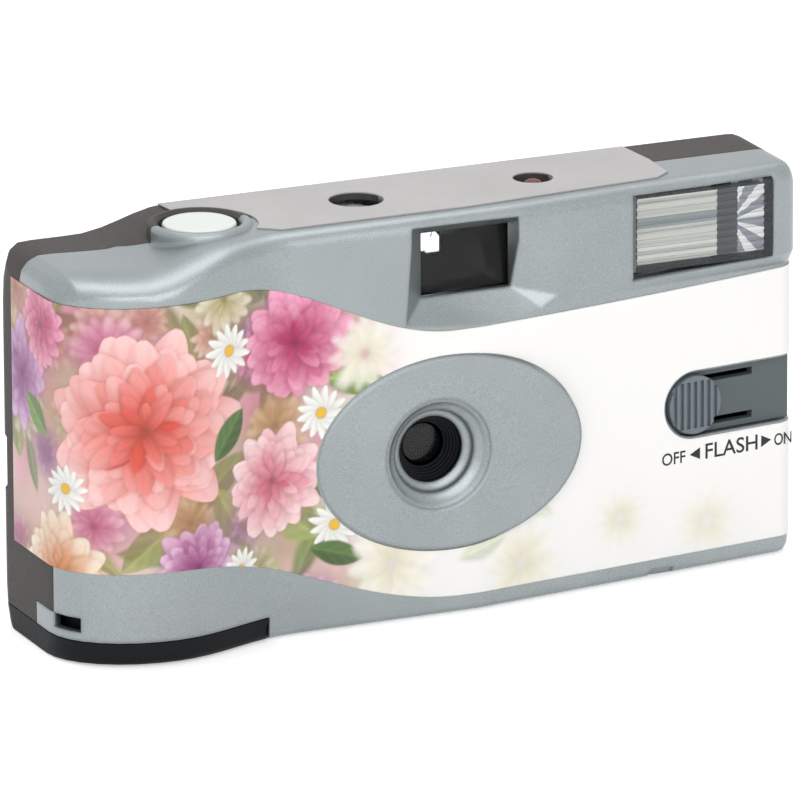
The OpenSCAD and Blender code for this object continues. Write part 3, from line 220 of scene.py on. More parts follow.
def add_bump(tree, shader, height, strength, distance, normal=None):
    bump = tree.nodes.new("ShaderNodeBump")
    bump.inputs["Strength"].default_value = strength
    bump.inputs["Distance"].default_value = distance
    tree.links.new(height, bump.inputs["Height"])
    if normal is not None:
        tree.links.new(normal, bump.inputs["Normal"])
    tree.links.new(bump.outputs[0], shader.inputs["Normal"])


# Materials: scales of the noises, depths of the bumps and samples of the soft edges

BLOTCH = 60
HAZE = 300
FINE_GRAIN = 900
GRAIN_DEPTH = 0.1 * MM
FINE_DEPTH = 0.05 * MM
EDGE_SAMPLES = 4


def plastic(name, colour, rough, metal=0.0, grain=1800, bump=0.05, vary=0.06, gloss=0.5, flake=0.0,
            edge=0.2):
    """Moulded plastic: slight mottling, fine grain, any flakes, and edges softened by so many mm."""
    m, tree, shader = new_material(name)
    darker = np.clip(np.asarray(colour) * (1 - vary), 0, 1)
    lighter = np.clip(np.asarray(colour) * (1 + vary), 0, 1)
    tint = mix_colours(tree, spread(tree, noise_node(tree, BLOTCH), 0, 1), darker, lighter)
    fine = noise_node(tree, grain)
    if flake:
        tint = mix_colours(tree, flake, tint, fine, blend="OVERLAY")
    tree.links.new(tint, shader.inputs["Base Color"])
    tree.links.new(spread(tree, fine, rough - 0.05, rough + 0.05), shader.inputs["Roughness"])
    shader.inputs["Metallic"].default_value = metal
    shader.inputs["Specular IOR Level"].default_value = gloss
    bevel = tree.nodes.new("ShaderNodeBevel")
    bevel.inputs["Radius"].default_value = edge * MM
    bevel.samples = EDGE_SAMPLES
    add_bump(tree, shader, fine, bump, GRAIN_DEPTH, bevel.outputs[0])
    return m


def clear(name, colour, rough, ior):
    """Clear moulded acrylic with a faint haze."""
    m, tree, shader = new_material(name)
    shader.inputs["Base Color"].default_value = (*colour, 1)
    shader.inputs["Transmission Weight"].default_value = 1.0
    shader.inputs["IOR"].default_value = ior
    tree.links.new(spread(tree, noise_node(tree, HAZE), rough, 2 * rough), shader.inputs["Roughness"])
    return m


def thin_clear(name, colour, alpha):
    """Thin clear plate that lets light and sight straight through."""
    m, tree, shader = new_material(name)
    shader.inputs["Base Color"].default_value = (*colour, 1)
    shader.inputs["Alpha"].default_value = alpha
    tree.links.new(spread(tree, noise_node(tree, HAZE), 0.06, 0.1), shader.inputs["Roughness"])
    return m


def metal(name, colour, rough):
    m, tree, shader = new_material(name)
    fine = noise_node(tree, FINE_GRAIN)
    shader.inputs["Base Color"].default_value = (*colour, 1)
    shader.inputs["Metallic"].default_value = 1.0
    tree.links.new(spread(tree, fine, rough - 0.08, rough + 0.08), shader.inputs["Roughness"])
    add_bump(tree, shader, fine, 0.05, FINE_DEPTH)
    return m


def printed(name, attribute, rough):
    """Label stock that shows its print from a colour attribute."""
    m, tree, shader = new_material(name)
    colour = tree.nodes.new("ShaderNodeVertexColor")
    colour.layer_name = attribute
    tree.links.new(colour.outputs[0], shader.inputs["Base Color"])
    fine = noise_node(tree, FINE_GRAIN)
    tree.links.new(spread(tree, fine, rough - 0.04, rough + 0.04), shader.inputs["Roughness"])
    add_bump(tree, shader, fine, 0.03, FINE_DEPTH)
    return m


# Flash pattern, the reflector's painted reflection and shade: places as shares of the window's width, the
# level of the fan's wave at which a blade begins, the tube's drop as a share of the window's height, and
# its half width in millimetres
TROUGH_END = 0.62
FAN_HUB = 0.72
FAN_START = 0.77
BLADE_LEVEL = 0.1
TUBE_DROP = 0.4
TUBE_HALF = 0.8


def flash_mirror(name, low, high, rib, fan):
    """Ribbed satin trough and tube on the left, dark gap, then a fan of facets on the right, all in the
    base colour:
    the ribs' light and dark stripes and the fan's bright and dark blades are painted reflection, the dark
    gap painted shade.
    """
    m, tree, shader = new_material(name)
    coord = tree.nodes.new("ShaderNodeTexCoord")
    split = tree.nodes.new("ShaderNodeSeparateXYZ")
    tree.links.new(coord.outputs["Object"], split.inputs[0])
    x, z = split.outputs["X"], split.outputs["Z"]
    width = high[0] - low[0]
    share = math_node(tree, "DIVIDE", math_node(tree, "SUBTRACT", x, low[0]), width)

    wave = math_node(tree, "SINE", math_node(tree, "MULTIPLY", z, 2 * math.pi / (rib * MM)))
    ribs = math_node(tree, "ADD", math_node(tree, "MULTIPLY", wave, 0.5), 0.5)
    # Light and dark stripes along the ribs: painted reflection
    ribs_painted_sheen = mix_colours(tree, ribs, srgb(196, 198, 192), srgb(226, 227, 220))
    tube_z = high[2] - TUBE_DROP * (high[2] - low[2])
    off_tube = math_node(tree, "ABSOLUTE", math_node(tree, "SUBTRACT", z, tube_z))
    on_tube = math_node(tree, "LESS_THAN", off_tube, TUBE_HALF * MM)
    trough = mix_colours(tree, on_tube, ribs_painted_sheen, srgb(150, 158, 160))

    hub_x = math_node(tree, "SUBTRACT", x, low[0] + FAN_HUB * width)
    hub_z = math_node(tree, "SUBTRACT", z, (low[2] + high[2]) / 2)
    angle = math_node(tree, "ARCTAN2", hub_z, hub_x)
    wave = math_node(tree, "SINE", math_node(tree, "MULTIPLY", angle, fan))
    blade = math_node(tree, "GREATER_THAN", wave, BLADE_LEVEL)
    # Bright and dark blades of the fan: painted reflection
    facets_painted_glints = mix_colours(tree, blade, srgb(150, 155, 166), srgb(245, 246, 246))
    in_fan = math_node(tree, "GREATER_THAN", share, FAN_START)
    # Dark band in the gap between trough and fan: painted shade
    gap_and_fan = mix_colours(tree, in_fan, srgb(72, 75, 76), facets_painted_glints)

    past_trough = math_node(tree, "GREATER_THAN", share, TROUGH_END)
    whole = mix_colours(tree, past_trough, trough, gap_and_fan)
    tree.links.new(whole, shader.inputs["Base Color"])
    shader.inputs["Metallic"].default_value = 0.2
    shader.inputs["Roughness"].default_value = 0.3
    return m


MATERIALS = {
    "silver_plastic": plastic("silver_plastic", srgb(152, 159, 161), 0.35, metal=0.8, grain=5200, bump=0.12,
                              flake=0.35, edge=0.9),
    "grey_plastic": plastic("grey_plastic", srgb(74, 70, 69), 0.55, grain=1500, bump=0.25, gloss=0.15),
    "black_plastic": plastic("black_plastic", srgb(16, 19, 22), 0.5, grain=1500, bump=0.15, gloss=0.15),
    "pale_print": plastic("pale_print", srgb(180, 177, 177), 0.5, grain=700, bump=0.04),
    "white_plastic": plastic("white_plastic", srgb(224, 229, 225), 0.35, grain=900, bump=0.03, vary=0.01),
    "slate_plastic": plastic("slate_plastic", srgb(110, 121, 127), 0.45, grain=1500, bump=0.12),
    "clear_acrylic": clear("clear_acrylic", (0.96, 0.98, 0.99), rough=0.01, ior=1.25),
    "steel": metal("steel", (0.6, 0.61, 0.63), 0.3),
    "spring_brass": metal("spring_brass", (0.75, 0.55, 0.25), 0.3),
    "film": plastic("film", (0.06, 0.03, 0.02), 0.25),
    "cassette_tin": plastic("cassette_tin", (0.06, 0.14, 0.32), 0.3),
    "board": plastic("board", (0.02, 0.12, 0.05), 0.4),
    "sleeve": plastic("sleeve", (0.02, 0.02, 0.05), 0.3),
    "winding": plastic("winding", (0.6, 0.4, 0.05), 0.4),
    "battery_jacket": plastic("battery_jacket", (0.05, 0.14, 0.1), 0.3),
    "lamp_orange": plastic("lamp_orange", srgb(92, 40, 22), 0.25),
}

# Nodes that look unlike the rest of their slot
LOOKS = {
    "switch_track": plastic("track_plastic", srgb(84, 94, 96), 0.5, grain=1500, bump=0.12),
    "flash_window": thin_clear("flash_clear", srgb(150, 156, 160), 0.15),
    "flash_reflector": flash_mirror("flash_mirror", *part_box("flash_window"), rib=1.5, fan=11),
    "flash_tube": plastic("tube_glass", srgb(150, 156, 160), 0.2, grain=600, bump=0.01),
    "shutter_blade": plastic("blade_black", srgb(10, 10, 11), 0.5, grain=900, bump=0.02, gloss=0.2),
    # The lens is clear: its dark tint is painted shade of the camera's inside behind it, with a gloss over
    # it
    "lens": thin_clear("lens_glass_painted_dark", srgb(18, 20, 24), 0.6),
    "finder_tube": plastic("finder_black", srgb(12, 12, 11), 0.85, grain=1500, bump=0.1, gloss=0.02),
}
# Dark plastic for painted shade on the flash window's downward and right-hand faces
painted_shade_edge = plastic("painted_shade_edge", srgb(30, 36, 42), 0.3, grain=900, bump=0.02)
label_material = printed("print", "print", 0.38)
ink = plastic("ink", srgb(16, 16, 18), 0.5, grain=900, bump=0.02, edge=0.0)


# Pieces taken from the CAD meshes, with their curves shaded smooth

# Crease angles in degrees, weld in metres, and shares of a normal that count as facing a way
CREASE = 32
FINE_CREASE = {"front_cover": 18}
WELD = 2e-7
FACE_WEIGHT = 90
SIDEWAYS = 0.6
LEVEL = 0.5
BACKWARD = 0.3


def skin(node):
    mesh = NODES[node].data.copy()
    limit = math.radians(FINE_CREASE.get(node, CREASE))
    b = bmesh.new()
    b.from_mesh(mesh)
    bmesh.ops.remove_doubles(b, verts=b.verts, dist=WELD)
    for f in b.faces:
        f.smooth = True
    for e in b.edges:
        e.smooth = len(e.link_faces) == 2 and e.calc_face_angle(0) < limit
    b.to_mesh(mesh)
    b.free()
    mesh.materials.clear()
    mesh.materials.append(LOOKS[node] if node in LOOKS else MATERIALS[SLOT[node]])
    piece = add_object("look_" + node, mesh)
    weighted = piece.modifiers.new("normals", "WEIGHTED_NORMAL")
    weighted.keep_sharp = True
    weighted.weight = FACE_WEIGHT
    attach(piece, BODY[node])
    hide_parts(node)
    return piece


def edge_faces(piece, material, chosen):
    """Give the faces whose normal passes the test a further material."""
    piece.data.materials.append(material)
    for f in piece.data.polygons:
        if chosen(f.normal):
            f.material_index = len(piece.data.materials) - 1


pieces = {node: skin(node) for node in NODES if node != "front_label"}
edge_faces(pieces["counter_window"], MATERIALS["black_plastic"], lambda n: abs(n.z) < LEVEL)
# Flash window: its downward and right-hand faces are painted shade, its left-hand faces a painted highlight
# in white, and its back face shows the reflector's painted reflection
edge_faces(pieces["flash_window"], painted_shade_edge, lambda n: n.z < -SIDEWAYS or n.x > SIDEWAYS)
edge_faces(pieces["flash_window"], MATERIALS["white_plastic"], lambda n: n.x < -SIDEWAYS)
edge_faces(pieces["flash_window"], LOOKS["flash_reflector"], lambda n: n.y > BACKWARD)
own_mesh(pieces["button_spring"])


# Drawing on the label

# Petals: outline, shadow below, light from root to tip, veins (depth, waves across, waves along) and
# light from side to side
PETAL_REACH = 1.2
PETAL_SKEW = 0.72
PETAL_ENDS = 3
SHADOW_SPREAD = 4
SHADOW_LEAST = 0.5
SHADOW_TONE = 0.55
TIP_CURVE = 1.3
MIDDLE_LIGHT = 0.25
ROOT_DARK = 0.12
PETAL_VEINS = ((0.05, 9, 0), (0.03, 21, 4))
SIDE_SHADE = 0.14

# Leaves: outline, light on the two halves, midrib and veins
LEAF_REACH = 1.1
LEAF_CURVE = 0.9
LEAF_TONE = 0.7
LEAF_LIT = 0.4
MIDRIB_LIGHT = 0.3
MIDRIB_NARROW = 8
LEAF_VEIN = 0.08
VEINS_ALONG = 26
VEINS_ACROSS = 9

# Blooms: rings of petals and the dark halo and heart, as shares of the flower's radius or of a ring's,
# and the random differences of petals
RING_PETALS = 7
RING_MORE = 2
INNER_REACH = 0.24
PETAL_START = 0.1
PETAL_LENGTH = 0.94
PETAL_WIDTH = 0.22
PETAL_WIDER = 0.06
HALO_DROP = 0.1
HALO_WIDTH = 1.1
HALO_HEIGHT = 1.05
HALO_TONE = 0.5
HALO_STRENGTH = 1.5
HEART_R = 0.1
HEART_TONE = 0.7
HEART_SHADE = 1.7
HEART_STRENGTH = 2.6
ANGLE_SPREAD = 0.12
LENGTH_SPREAD = 0.08
COLOUR_SPREAD = 0.12

# Daisies: petals and eye, as shares of the flower's radius, and the darker rim, as a share of the eye's
DAISY_SPREAD = 0.06
DAISY_WIDTH = 0.19
DAISY_ROOT = 0.78
EYE_WINDOW = 0.3
EYE_R = 0.24
EYE_SHARPNESS = 4
RIM_R = 0.85
RIM_SHARPNESS = 5
RIM_TONE = 0.5

# Glows: the window they are laid in, in radii
GLOW_REACH = 2.4


class Canvas:
    """Colours on the grid of the label: u runs along it, z up, both in millimetres."""

    def __init__(self, u, z, base):
        self.u, self.z = u, z
        self.rgb = np.empty(u.shape + (3,))
        self.rgb[:] = base

    def window(self, cu, cz, reach):
        """Rows and columns of the grid near a point, or None away from the label."""
        cols = np.where(np.abs(self.u[0] - cu) <= reach)[0]
        if not len(cols):
            return None
        c = slice(cols[0], cols[-1] + 1)
        rows = np.where(np.any(np.abs(self.z[:, c] - cz) <= reach, axis=1))[0]
        if not len(rows):
            return None
        return slice(rows[0], rows[-1] + 1), c

    def shares(self, w, cu, cz, angle, length, width):
        """Places in a window as shares of the length and width of a leaf or petal."""
        du, dz = self.u[w] - cu, self.z[w] - cz
        along = (du * math.cos(angle) + dz * math.sin(angle)) / length
        across = (-du * math.sin(angle) + dz * math.cos(angle)) / width
        return along, across

    def lay(self, where, alpha, colour):
        part = self.rgb[where]
        self.rgb[where] = part + alpha[..., None] * (colour - part)

    def glow(self, cu, cz, ru, rz, colour, strength):
        """A soft round spot."""
        w = self.window(cu, cz, GLOW_REACH * max(ru, rz))
        if w:
            d = ((self.u[w] - cu) / ru) ** 2 + ((self.z[w] - cz) / rz) ** 2
            self.lay(w, strength * np.exp(-d), np.asarray(colour))

    def petal(self, cu, cz, angle, length, width, root, tip, soft=0.2, strength=1.0, shade=0.3):
        """A rounded petal from (cu, cz) outwards, shaded from root to tip, over its own shadow."""
        w = self.window(cu, cz, length * PETAL_REACH)
        if not w:
            return
        a, b = self.shares(w, cu, cz, angle, length, width)
        t = np.clip(a, 0, 1)
        half = np.sqrt(np.maximum(0, np.sin(np.pi * t ** PETAL_SKEW)))
        gap = np.minimum(np.minimum(half - np.abs(b), a * PETAL_ENDS), (1 - a) * PETAL_ENDS)
        shadow = np.clip(0.5 + gap * width / (SHADOW_SPREAD * soft + SHADOW_LEAST), 0, 1)
        self.lay(w, shade * strength * shadow, root * SHADOW_TONE)
        alpha = strength * np.clip(gap * width / soft, 0, 1)
        light = t ** TIP_CURVE + MIDDLE_LIGHT * (1 - np.clip(np.abs(b), 0, 1)) - ROOT_DARK
        veins = sum(depth * np.sin(b * across + a * along) for depth, across, along in PETAL_VEINS)
        colour = root + (tip - root) * np.clip(light + veins, 0, 1)[..., None]
        side = 1 - SIDE_SHADE * np.clip(b, -1, 1)[..., None]
        self.lay(w, alpha, np.clip(colour * side, 0, 1))

    def leaf(self, cu, cz, angle, length, width, colour, soft, strength=1.0):
        """A pointed leaf with a lit half, a midrib and veins."""
        w = self.window(cu, cz, length * LEAF_REACH)
        if not w:
            return
        a, b = self.shares(w, cu, cz, angle, length, width)
        t = np.clip(a, 0, 1)
        half = np.maximum(0, 4 * t * (1 - t)) ** LEAF_CURVE
        alpha = strength * np.clip((half - np.abs(b)) * width / soft, 0, 1)
        midrib = MIDRIB_LIGHT * np.exp(-(b * MIDRIB_NARROW) ** 2)
        veins = LEAF_VEIN * np.sin(a * VEINS_ALONG - np.abs(b) * VEINS_ACROSS)
        light = LEAF_TONE + LEAF_LIT * (b > 0) + midrib + veins
        self.lay(w, alpha, np.clip(np.asarray(colour) * light[..., None], 0, 1))

    def bloom(self, cu, cz, r, rings, root, tip, heart, soft, turn, strength=1.0, shade=0.3):
        """A many-petalled round flower, laid from the outside in."""
        self.glow(cu, cz - HALO_DROP * r, HALO_WIDTH * r, HALO_HEIGHT * r, root * HALO_TONE,
                  HALO_STRENGTH * shade * strength)
        for k in range(rings):
            f = 1 - k / rings
            count = RING_PETALS + RING_MORE * (rings - k)
            stagger = 0.5 * (k % 2)
            reach = r * (INNER_REACH + (1 - INNER_REACH) * f)
            width = reach * (PETAL_WIDTH + PETAL_WIDER * f)
            start = PETAL_START * reach
            for i in rng.permutation(count):
                angle = turn + (i + stagger) * 2 * math.pi / count + ANGLE_SPREAD * rng.standard_normal()
                length = reach * (1 + LENGTH_SPREAD * rng.standard_normal()) * PETAL_LENGTH
                share = np.clip(f + COLOUR_SPREAD * rng.standard_normal(), 0, 1)
                outer = heart + (tip - heart) * share
                inner = heart * HEART_TONE + (root - heart * HEART_TONE) * share
                self.petal(cu + start * math.cos(angle), cz + start * math.sin(angle), angle,
                           length, width, inner, outer, soft, strength, shade)
        self.glow(cu, cz, HEART_R * r, HEART_R * r, heart * (1 - HEART_SHADE * shade),
                  HEART_STRENGTH * shade * strength)

    def daisy(self, cu, cz, r, petals, white, eye, turn, soft=0.15):
        """A single ring of narrow petals round a button eye."""
        for i in range(petals):
            length = r * (1 + DAISY_SPREAD * rng.standard_normal())
            self.petal(cu, cz, turn + i * 2 * math.pi / petals, length, DAISY_WIDTH * r,
                       white * DAISY_ROOT, white, soft)
        w = self.window(cu, cz, EYE_WINDOW * r)
        if w:
            d = np.hypot(self.u[w] - cu, self.z[w] - cz) / (EYE_R * r)
            self.lay(w, np.clip((1 - d) * EYE_SHARPNESS, 0, 1), eye)
            rim = np.clip(1 - np.abs(d - RIM_R) * RIM_SHARPNESS, 0, 1)
            self.lay(w, RIM_TONE * rim, eye * RIM_TONE)


# Print of the label: places are millimetres along the label from its left end and above the base

def shades(*rows):
    """Colours from rows of 0 to 255 display values."""
    return [srgb(*row) for row in rows]


PAPER, GROUND = shades((253, 252, 250), (196, 182, 148))
PINKS = shades((240, 158, 190), (226, 108, 160), (246, 190, 200), (244, 170, 150), (216, 168, 214))
GREENS = shades((150, 172, 92), (110, 140, 66), (186, 200, 140), (84, 112, 58))
CREAMS = shades((252, 246, 226), (250, 240, 208), (244, 248, 240), (252, 232, 226))
WHITES = shades((253, 251, 246), (252, 252, 251), (253, 249, 250))
SOFT_TIPS = shades((252, 214, 226), (254, 236, 224), (250, 226, 190), (240, 206, 236), (254, 246, 236))
SOFT_ROOTS = shades((230, 120, 168), (240, 170, 150), (226, 186, 110), (190, 120, 190), (214, 204, 140))
ROSE, BLUSH, LILAC = shades((214, 74, 128), (247, 178, 204), (176, 100, 170))
DAISY_WHITE, YOLK = shades((253, 252, 246), (240, 190, 60))
PALE_ROOT, PALE_TIP, STRAW = shades((251, 244, 222), (254, 252, 245), (250, 243, 214))

# Flower bed: where it ends, how its ground fades out there, and the counts and ranges of what is strewn
BED = 58
BED_EDGE = 12
BED_FADE = 26
BED_STRENGTH = 0.75
PRINT_END = 150
NEAR_SPOTS = 170
NEAR_SPAN = (-4, BED + 8)
FAR_SPOTS = 60
FAR_SPAN = (BED, PRINT_END)
SPOT_Z = (0, 56)
SPOT_R = (2, 6)
SPOT_FLATNESS = (0.6, 1.3)
LEAF_COUNT = 64
LEAF_SPAN = (0, BED + 4)
LEAF_Z = (2, 54)
LEAF_TURN = (0, 6.28)
LEAF_LENGTH = (7, 15)
LEAF_WIDTH = (1.6, 3.4)
LEAF_SOFT = (0.3, 1.1)
SOFT_COUNT = 34
SOFT_SPAN = (0, BED + 3)
SOFT_Z = (3, 53)
SOFT_R = (3.4, 5.8)
SOFT_BLUR = (0.5, 1.2)
SOFT_TURN = (0, 6)
SOFT_HEART = 0.85
SOFT_STRENGTH = 0.85
FEW_RINGS = 3

# Large blooms: place, radius, rings, colours of root, tip and heart, softness and turn
BLOOMS = (
    (4, 40, 8, 5, LILAC, srgb(226, 190, 230), srgb(150, 60, 140), 0.35, 0.3),
    (15, 13, 8.5, 5, srgb(238, 176, 120), srgb(253, 240, 222), srgb(226, 140, 80), 0.25, 0.1),
    (55, 44, 8.5, 6, ROSE, BLUSH, srgb(190, 40, 104), 0.3, 0.7),
    (37, 14, 6.5, 5, LILAC, srgb(240, 200, 228), srgb(160, 56, 128), 0.25, 0.5),
    (29, 35, 14, 7, srgb(236, 112, 96), srgb(252, 208, 206), srgb(226, 84, 66), 0.2, 0.2),
    (51, 24, 8, 5, srgb(232, 150, 170), srgb(253, 226, 226), srgb(222, 110, 130), 0.2, 0.9),
    (11, 49, 6, 5, ROSE, BLUSH, srgb(196, 48, 104), 0.25, 1.3),
)

# Daisies: place and radius
DAISIES = ((43, 45, 4.2), (17, 26, 3.8), (45, 12, 3.4), (59, 33, 4.0), (61, 16, 4.0))
DAISY_PETALS = 13

# Leaves: place, direction, length, width, colour, softness and strength
LEAVES = (
    (58, 22, 0.3, 13, 2.6, GREENS[1], 0.3, 1.0),
    (60, 38, -0.2, 10, 2.2, GREENS[0], 0.3, 1.0),
    (66, 12, 0.5, 12, 2.6, GREENS[2], 0.3, 1.0),
    (40, 29, 0.9, 9, 2.2, GREENS[3], 0.3, 1.0),
    (13, 33, 2.6, 9, 2.2, GREENS[1], 0.3, 1.0),
    (57, 13, -0.3, 9, 2, GREENS[3], 0.3, 1.0),
)
PALE_LEAVES = (
    (80, 8, 0.3, 9, 2, GREENS[2], 0.9, 0.4),
    (97, 12, 2.6, 8, 1.8, GREENS[2], 1.0, 0.25),
)

# Pale blooms on the white: place, radius and strength
PALE_BLOOMS = (
    (70, 9, 7.5, 0.75),
    (81, 14, 5.5, 0.6),
    (91, 6, 7, 0.55),
    (66, 41, 6, 0.6),
    (108, 10, 5, 0.4),
    (79, 46, 4.5, 0.35),
    (123, 7, 6.5, 0.3),
)
PALE_SOFT = 1.0
PALE_SHADE = 0.05


def strew_spots(canvas, count, span, pool, strength):
    """Soft spots in the colours of a pool, over a stretch of the label."""
    for _ in range(count):
        cu, cz = rng.uniform(*span), rng.uniform(*SPOT_Z)
        r = rng.uniform(*SPOT_R)
        flat_r = r * rng.uniform(*SPOT_FLATNESS)
        canvas.glow(cu, cz, r, flat_r, pool[rng.integers(len(pool))], strength)


def strew_leaves(canvas):
    """Leaves over the whole bed."""
    for _ in range(LEAF_COUNT):
        cu, cz = rng.uniform(*LEAF_SPAN), rng.uniform(*LEAF_Z)
        canvas.leaf(cu, cz, rng.uniform(*LEAF_TURN), rng.uniform(*LEAF_LENGTH), rng.uniform(*LEAF_WIDTH),
                    GREENS[rng.integers(len(GREENS))], rng.uniform(*LEAF_SOFT), SOFT_STRENGTH)


def strew_blooms(canvas):
    """Small blurred blooms over the whole bed."""
    for _ in range(SOFT_COUNT):
        cu, cz, r = rng.uniform(*SOFT_SPAN), rng.uniform(*SOFT_Z), rng.uniform(*SOFT_R)
        k = rng.integers(len(SOFT_TIPS))
        canvas.bloom(cu, cz, r, FEW_RINGS, SOFT_ROOTS[k], SOFT_TIPS[k], SOFT_ROOTS[k] * SOFT_HEART,
                     soft=rng.uniform(*SOFT_BLUR), turn=rng.uniform(*SOFT_TURN), strength=SOFT_STRENGTH)


def paint(u, z):
    """The print: a bed of garden flowers on the left that thins out to plain white on the right."""
    canvas = Canvas(u, z, PAPER)
    in_bed = np.clip((BED + BED_EDGE - u) / BED_FADE, 0, 1)
    canvas.rgb += in_bed[..., None] * BED_STRENGTH * (GROUND - canvas.rgb)
    strew_spots(canvas, NEAR_SPOTS, NEAR_SPAN, PINKS + GREENS + CREAMS, strength=0.7)
    strew_spots(canvas, FAR_SPOTS, FAR_SPAN, WHITES, strength=0.25)
    strew_leaves(canvas)
    strew_blooms(canvas)
    for bloom in BLOOMS:
        canvas.bloom(*bloom)
    for cu, cz, r in DAISIES:
        canvas.daisy(cu, cz, r, DAISY_PETALS, DAISY_WHITE, YOLK, turn=rng.uniform(0, 1))
    for leaf in LEAVES:
        canvas.leaf(*leaf)
    for cu, cz, r, strength in PALE_BLOOMS:
        canvas.bloom(cu, cz, r, FEW_RINGS, PALE_ROOT, PALE_TIP, STRAW, soft=PALE_SOFT, turn=cu,
                     strength=strength, shade=PALE_SHADE)
    for leaf in PALE_LEAVES:
        canvas.leaf(*leaf)
    return np.clip(canvas.rgb, 0, 1)


# Sheet of the label, a hair under the face of the CAD label, in millimetres

PRINT_UNDER = 0.01
PRINT_SET = PRINT_UNDER - LABEL_T
FINE_STEP, QUICK_STEP = 0.2, 0.4
ROWS_HEIGHT = 48
RIM_DEPTH = 0.15
SAME_PLACE = 1e-7
LEAST = 1e-6
CURVE_POINTS = 300
ROUND_POINTS = 60
LEFT_POINTS = 40
RIGHT_POINTS = 20


def plan_line(s):
    """Points along the label in plan, from the back of the left end to the right end."""
    left = np.stack([np.full(LEFT_POINTS, -HALF_W + s), np.linspace(LABEL_BACK_Y, SIDE_Y, LEFT_POINTS)], 1)
    grip_turn = np.linspace(0, np.pi / 2, CURVE_POINTS)[1:]
    end_turn = np.linspace(0, np.pi / 2, ROUND_POINTS)[1:]
    x = np.concatenate([GRIP_X - (GRIP_REACH - s) * np.cos(grip_turn),
                        np.linspace(GRIP_X, FLAT_X, CURVE_POINTS)[1:],
                        np.linspace(FLAT_X, HALF_W - END_R, CURVE_POINTS)[1:],
                        HALF_W - END_R + (END_R - s) * np.sin(end_turn)])
    front = np.stack([x, face_y(x, s)], 1)
    right_y = np.linspace(front[-1, 1], LABEL_STOP_Y, RIGHT_POINTS + 1)[1:]
    right = np.stack([np.full(RIGHT_POINTS, HALF_W - s), right_y], 1)
    return np.concatenate([left, front, right])


def label_grid(step):
    """Length along the label and x, y and z of its grid, row by row from the lower edge."""
    line = plan_line(PRINT_SET)
    length = np.concatenate([[0], np.cumsum(np.linalg.norm(np.diff(line, axis=0), axis=1))])
    u = np.linspace(0, length[-1], int(length[-1] / step))
    x, y = np.interp(u, length, line[:, 0]), np.interp(u, length, line[:, 1])
    rows = int(ROWS_HEIGHT / step)
    v = np.linspace(0, 1, rows)[:, None]
    low, high = label_bottom(x)[None], label_top(x)[None]
    z = low + v * (high - low)
    return [np.repeat(row[None], rows, 0) for row in (u, x, y)] + [z]


def cut_openings(x, y, z):
    """Points with those in the oval and the slot moved out to the rim, and the cells that drop out."""
    oval_rz = OVAL_RZ + OVAL_ROOM
    oval_rx = OVAL_RX * oval_rz / OVAL_RZ
    to_rim = np.hypot((x - OVAL_X) / oval_rx, (z - OVAL_Z) / oval_rz)
    in_oval = to_rim < 1
    along = (x - KNOB_X) / math.cos(TURN)
    reach = np.where(along < 0, np.hypot(along, z - SWITCH_Z), np.abs(z - SWITCH_Z))
    in_slot = reach < SLOT_R
    in_round = in_slot & (along < 0)
    hole = in_oval | in_slot
    dropped = hole[:-1, :-1] & hole[1:, :-1] & hole[:-1, 1:] & hole[1:, 1:]
    grow = np.where(in_oval, 1 / np.maximum(to_rim, LEAST), 1)
    xs = OVAL_X + (x - OVAL_X) * grow
    zs = OVAL_Z + (z - OVAL_Z) * grow
    grow = np.where(in_slot, SLOT_R / np.maximum(reach, LEAST), 1)
    xs = np.where(in_round, KNOB_X + (x - KNOB_X) * grow, xs)
    zs = np.where(in_slot, SWITCH_Z + (z - SWITCH_Z) * grow, zs)
    ys = np.where(in_oval | in_round, face_y(xs, PRINT_SET), y)
    return np.stack([xs, ys, zs], -1).reshape(-1, 3) * MM, dropped


def turn_in_rim(b, seam_x):
    """Turn the open rim of a sheet in to the body, all but its seam."""
    rim = [e for e in b.edges
           if e.is_boundary and not all(abs(v.co.x - seam_x) < SAME_PLACE for v in e.verts)]
    outward = {v: v.normal.copy() for e in rim for v in e.verts}
    for v in bmesh.ops.extrude_edge_only(b, edges=rim)["geom"]:
        if isinstance(v, bmesh.types.BMVert):
            near = min((e.other_vert(v) for e in v.link_edges if e.other_vert(v) in outward),
                       key=lambda w: (w.co - v.co).length, default=None)
            if near is not None:
                v.co = near.co - outward[near] * RIM_DEPTH * MM


def label_sheet(name, points, rgb, index, kept, seam_x):
    """A piece with the kept cells of a stretch of the grid, and its print as a colour attribute."""
    quads = np.stack([index[:-1, :-1], index[:-1, 1:], index[1:, 1:], index[1:, :-1]], -1)[kept]
    used, quads = np.unique(quads, return_inverse=True)
    mesh = bpy.data.meshes.new(name)
    mesh.from_pydata(points[used].tolist(), [], quads.reshape(-1, 4).tolist())
    layer = mesh.color_attributes.new("print", "FLOAT_COLOR", "POINT")
    values = np.ones((len(used), 4), np.float32)
    values[:, :3] = rgb.reshape(-1, 3)[used]
    layer.data.foreach_set("color", values.ravel())
    b = bmesh.new()
    b.from_mesh(mesh)
    b.normal_update()
    turn_in_rim(b, seam_x)
    for f in b.faces:
        f.smooth = True
    b.to_mesh(mesh)
    b.free()
    mesh.materials.append(label_material)
    return add_object(name, mesh)


def build_label(step):
    u, x, y, z = label_grid(step)
    rgb = paint(u, z)
    points, dropped = cut_openings(x, y, z)
    rows, cols = u.shape
    index = np.arange(rows * cols).reshape(rows, cols)
    seam = cols // 2
    seam_x = points[index[0, seam], 0]
    for name, first, last in (("label_left", 0, seam), ("label_right", seam, cols - 1)):
        kept = ~dropped[:, first:last]
        piece = label_sheet(name, points, rgb, index[:, first:last + 1], kept, seam_x)
        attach(piece, "camera_body")
        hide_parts("front_label")


build_label(FINE_STEP)


# Lettering of the flash switch, lying on the label, in millimetres

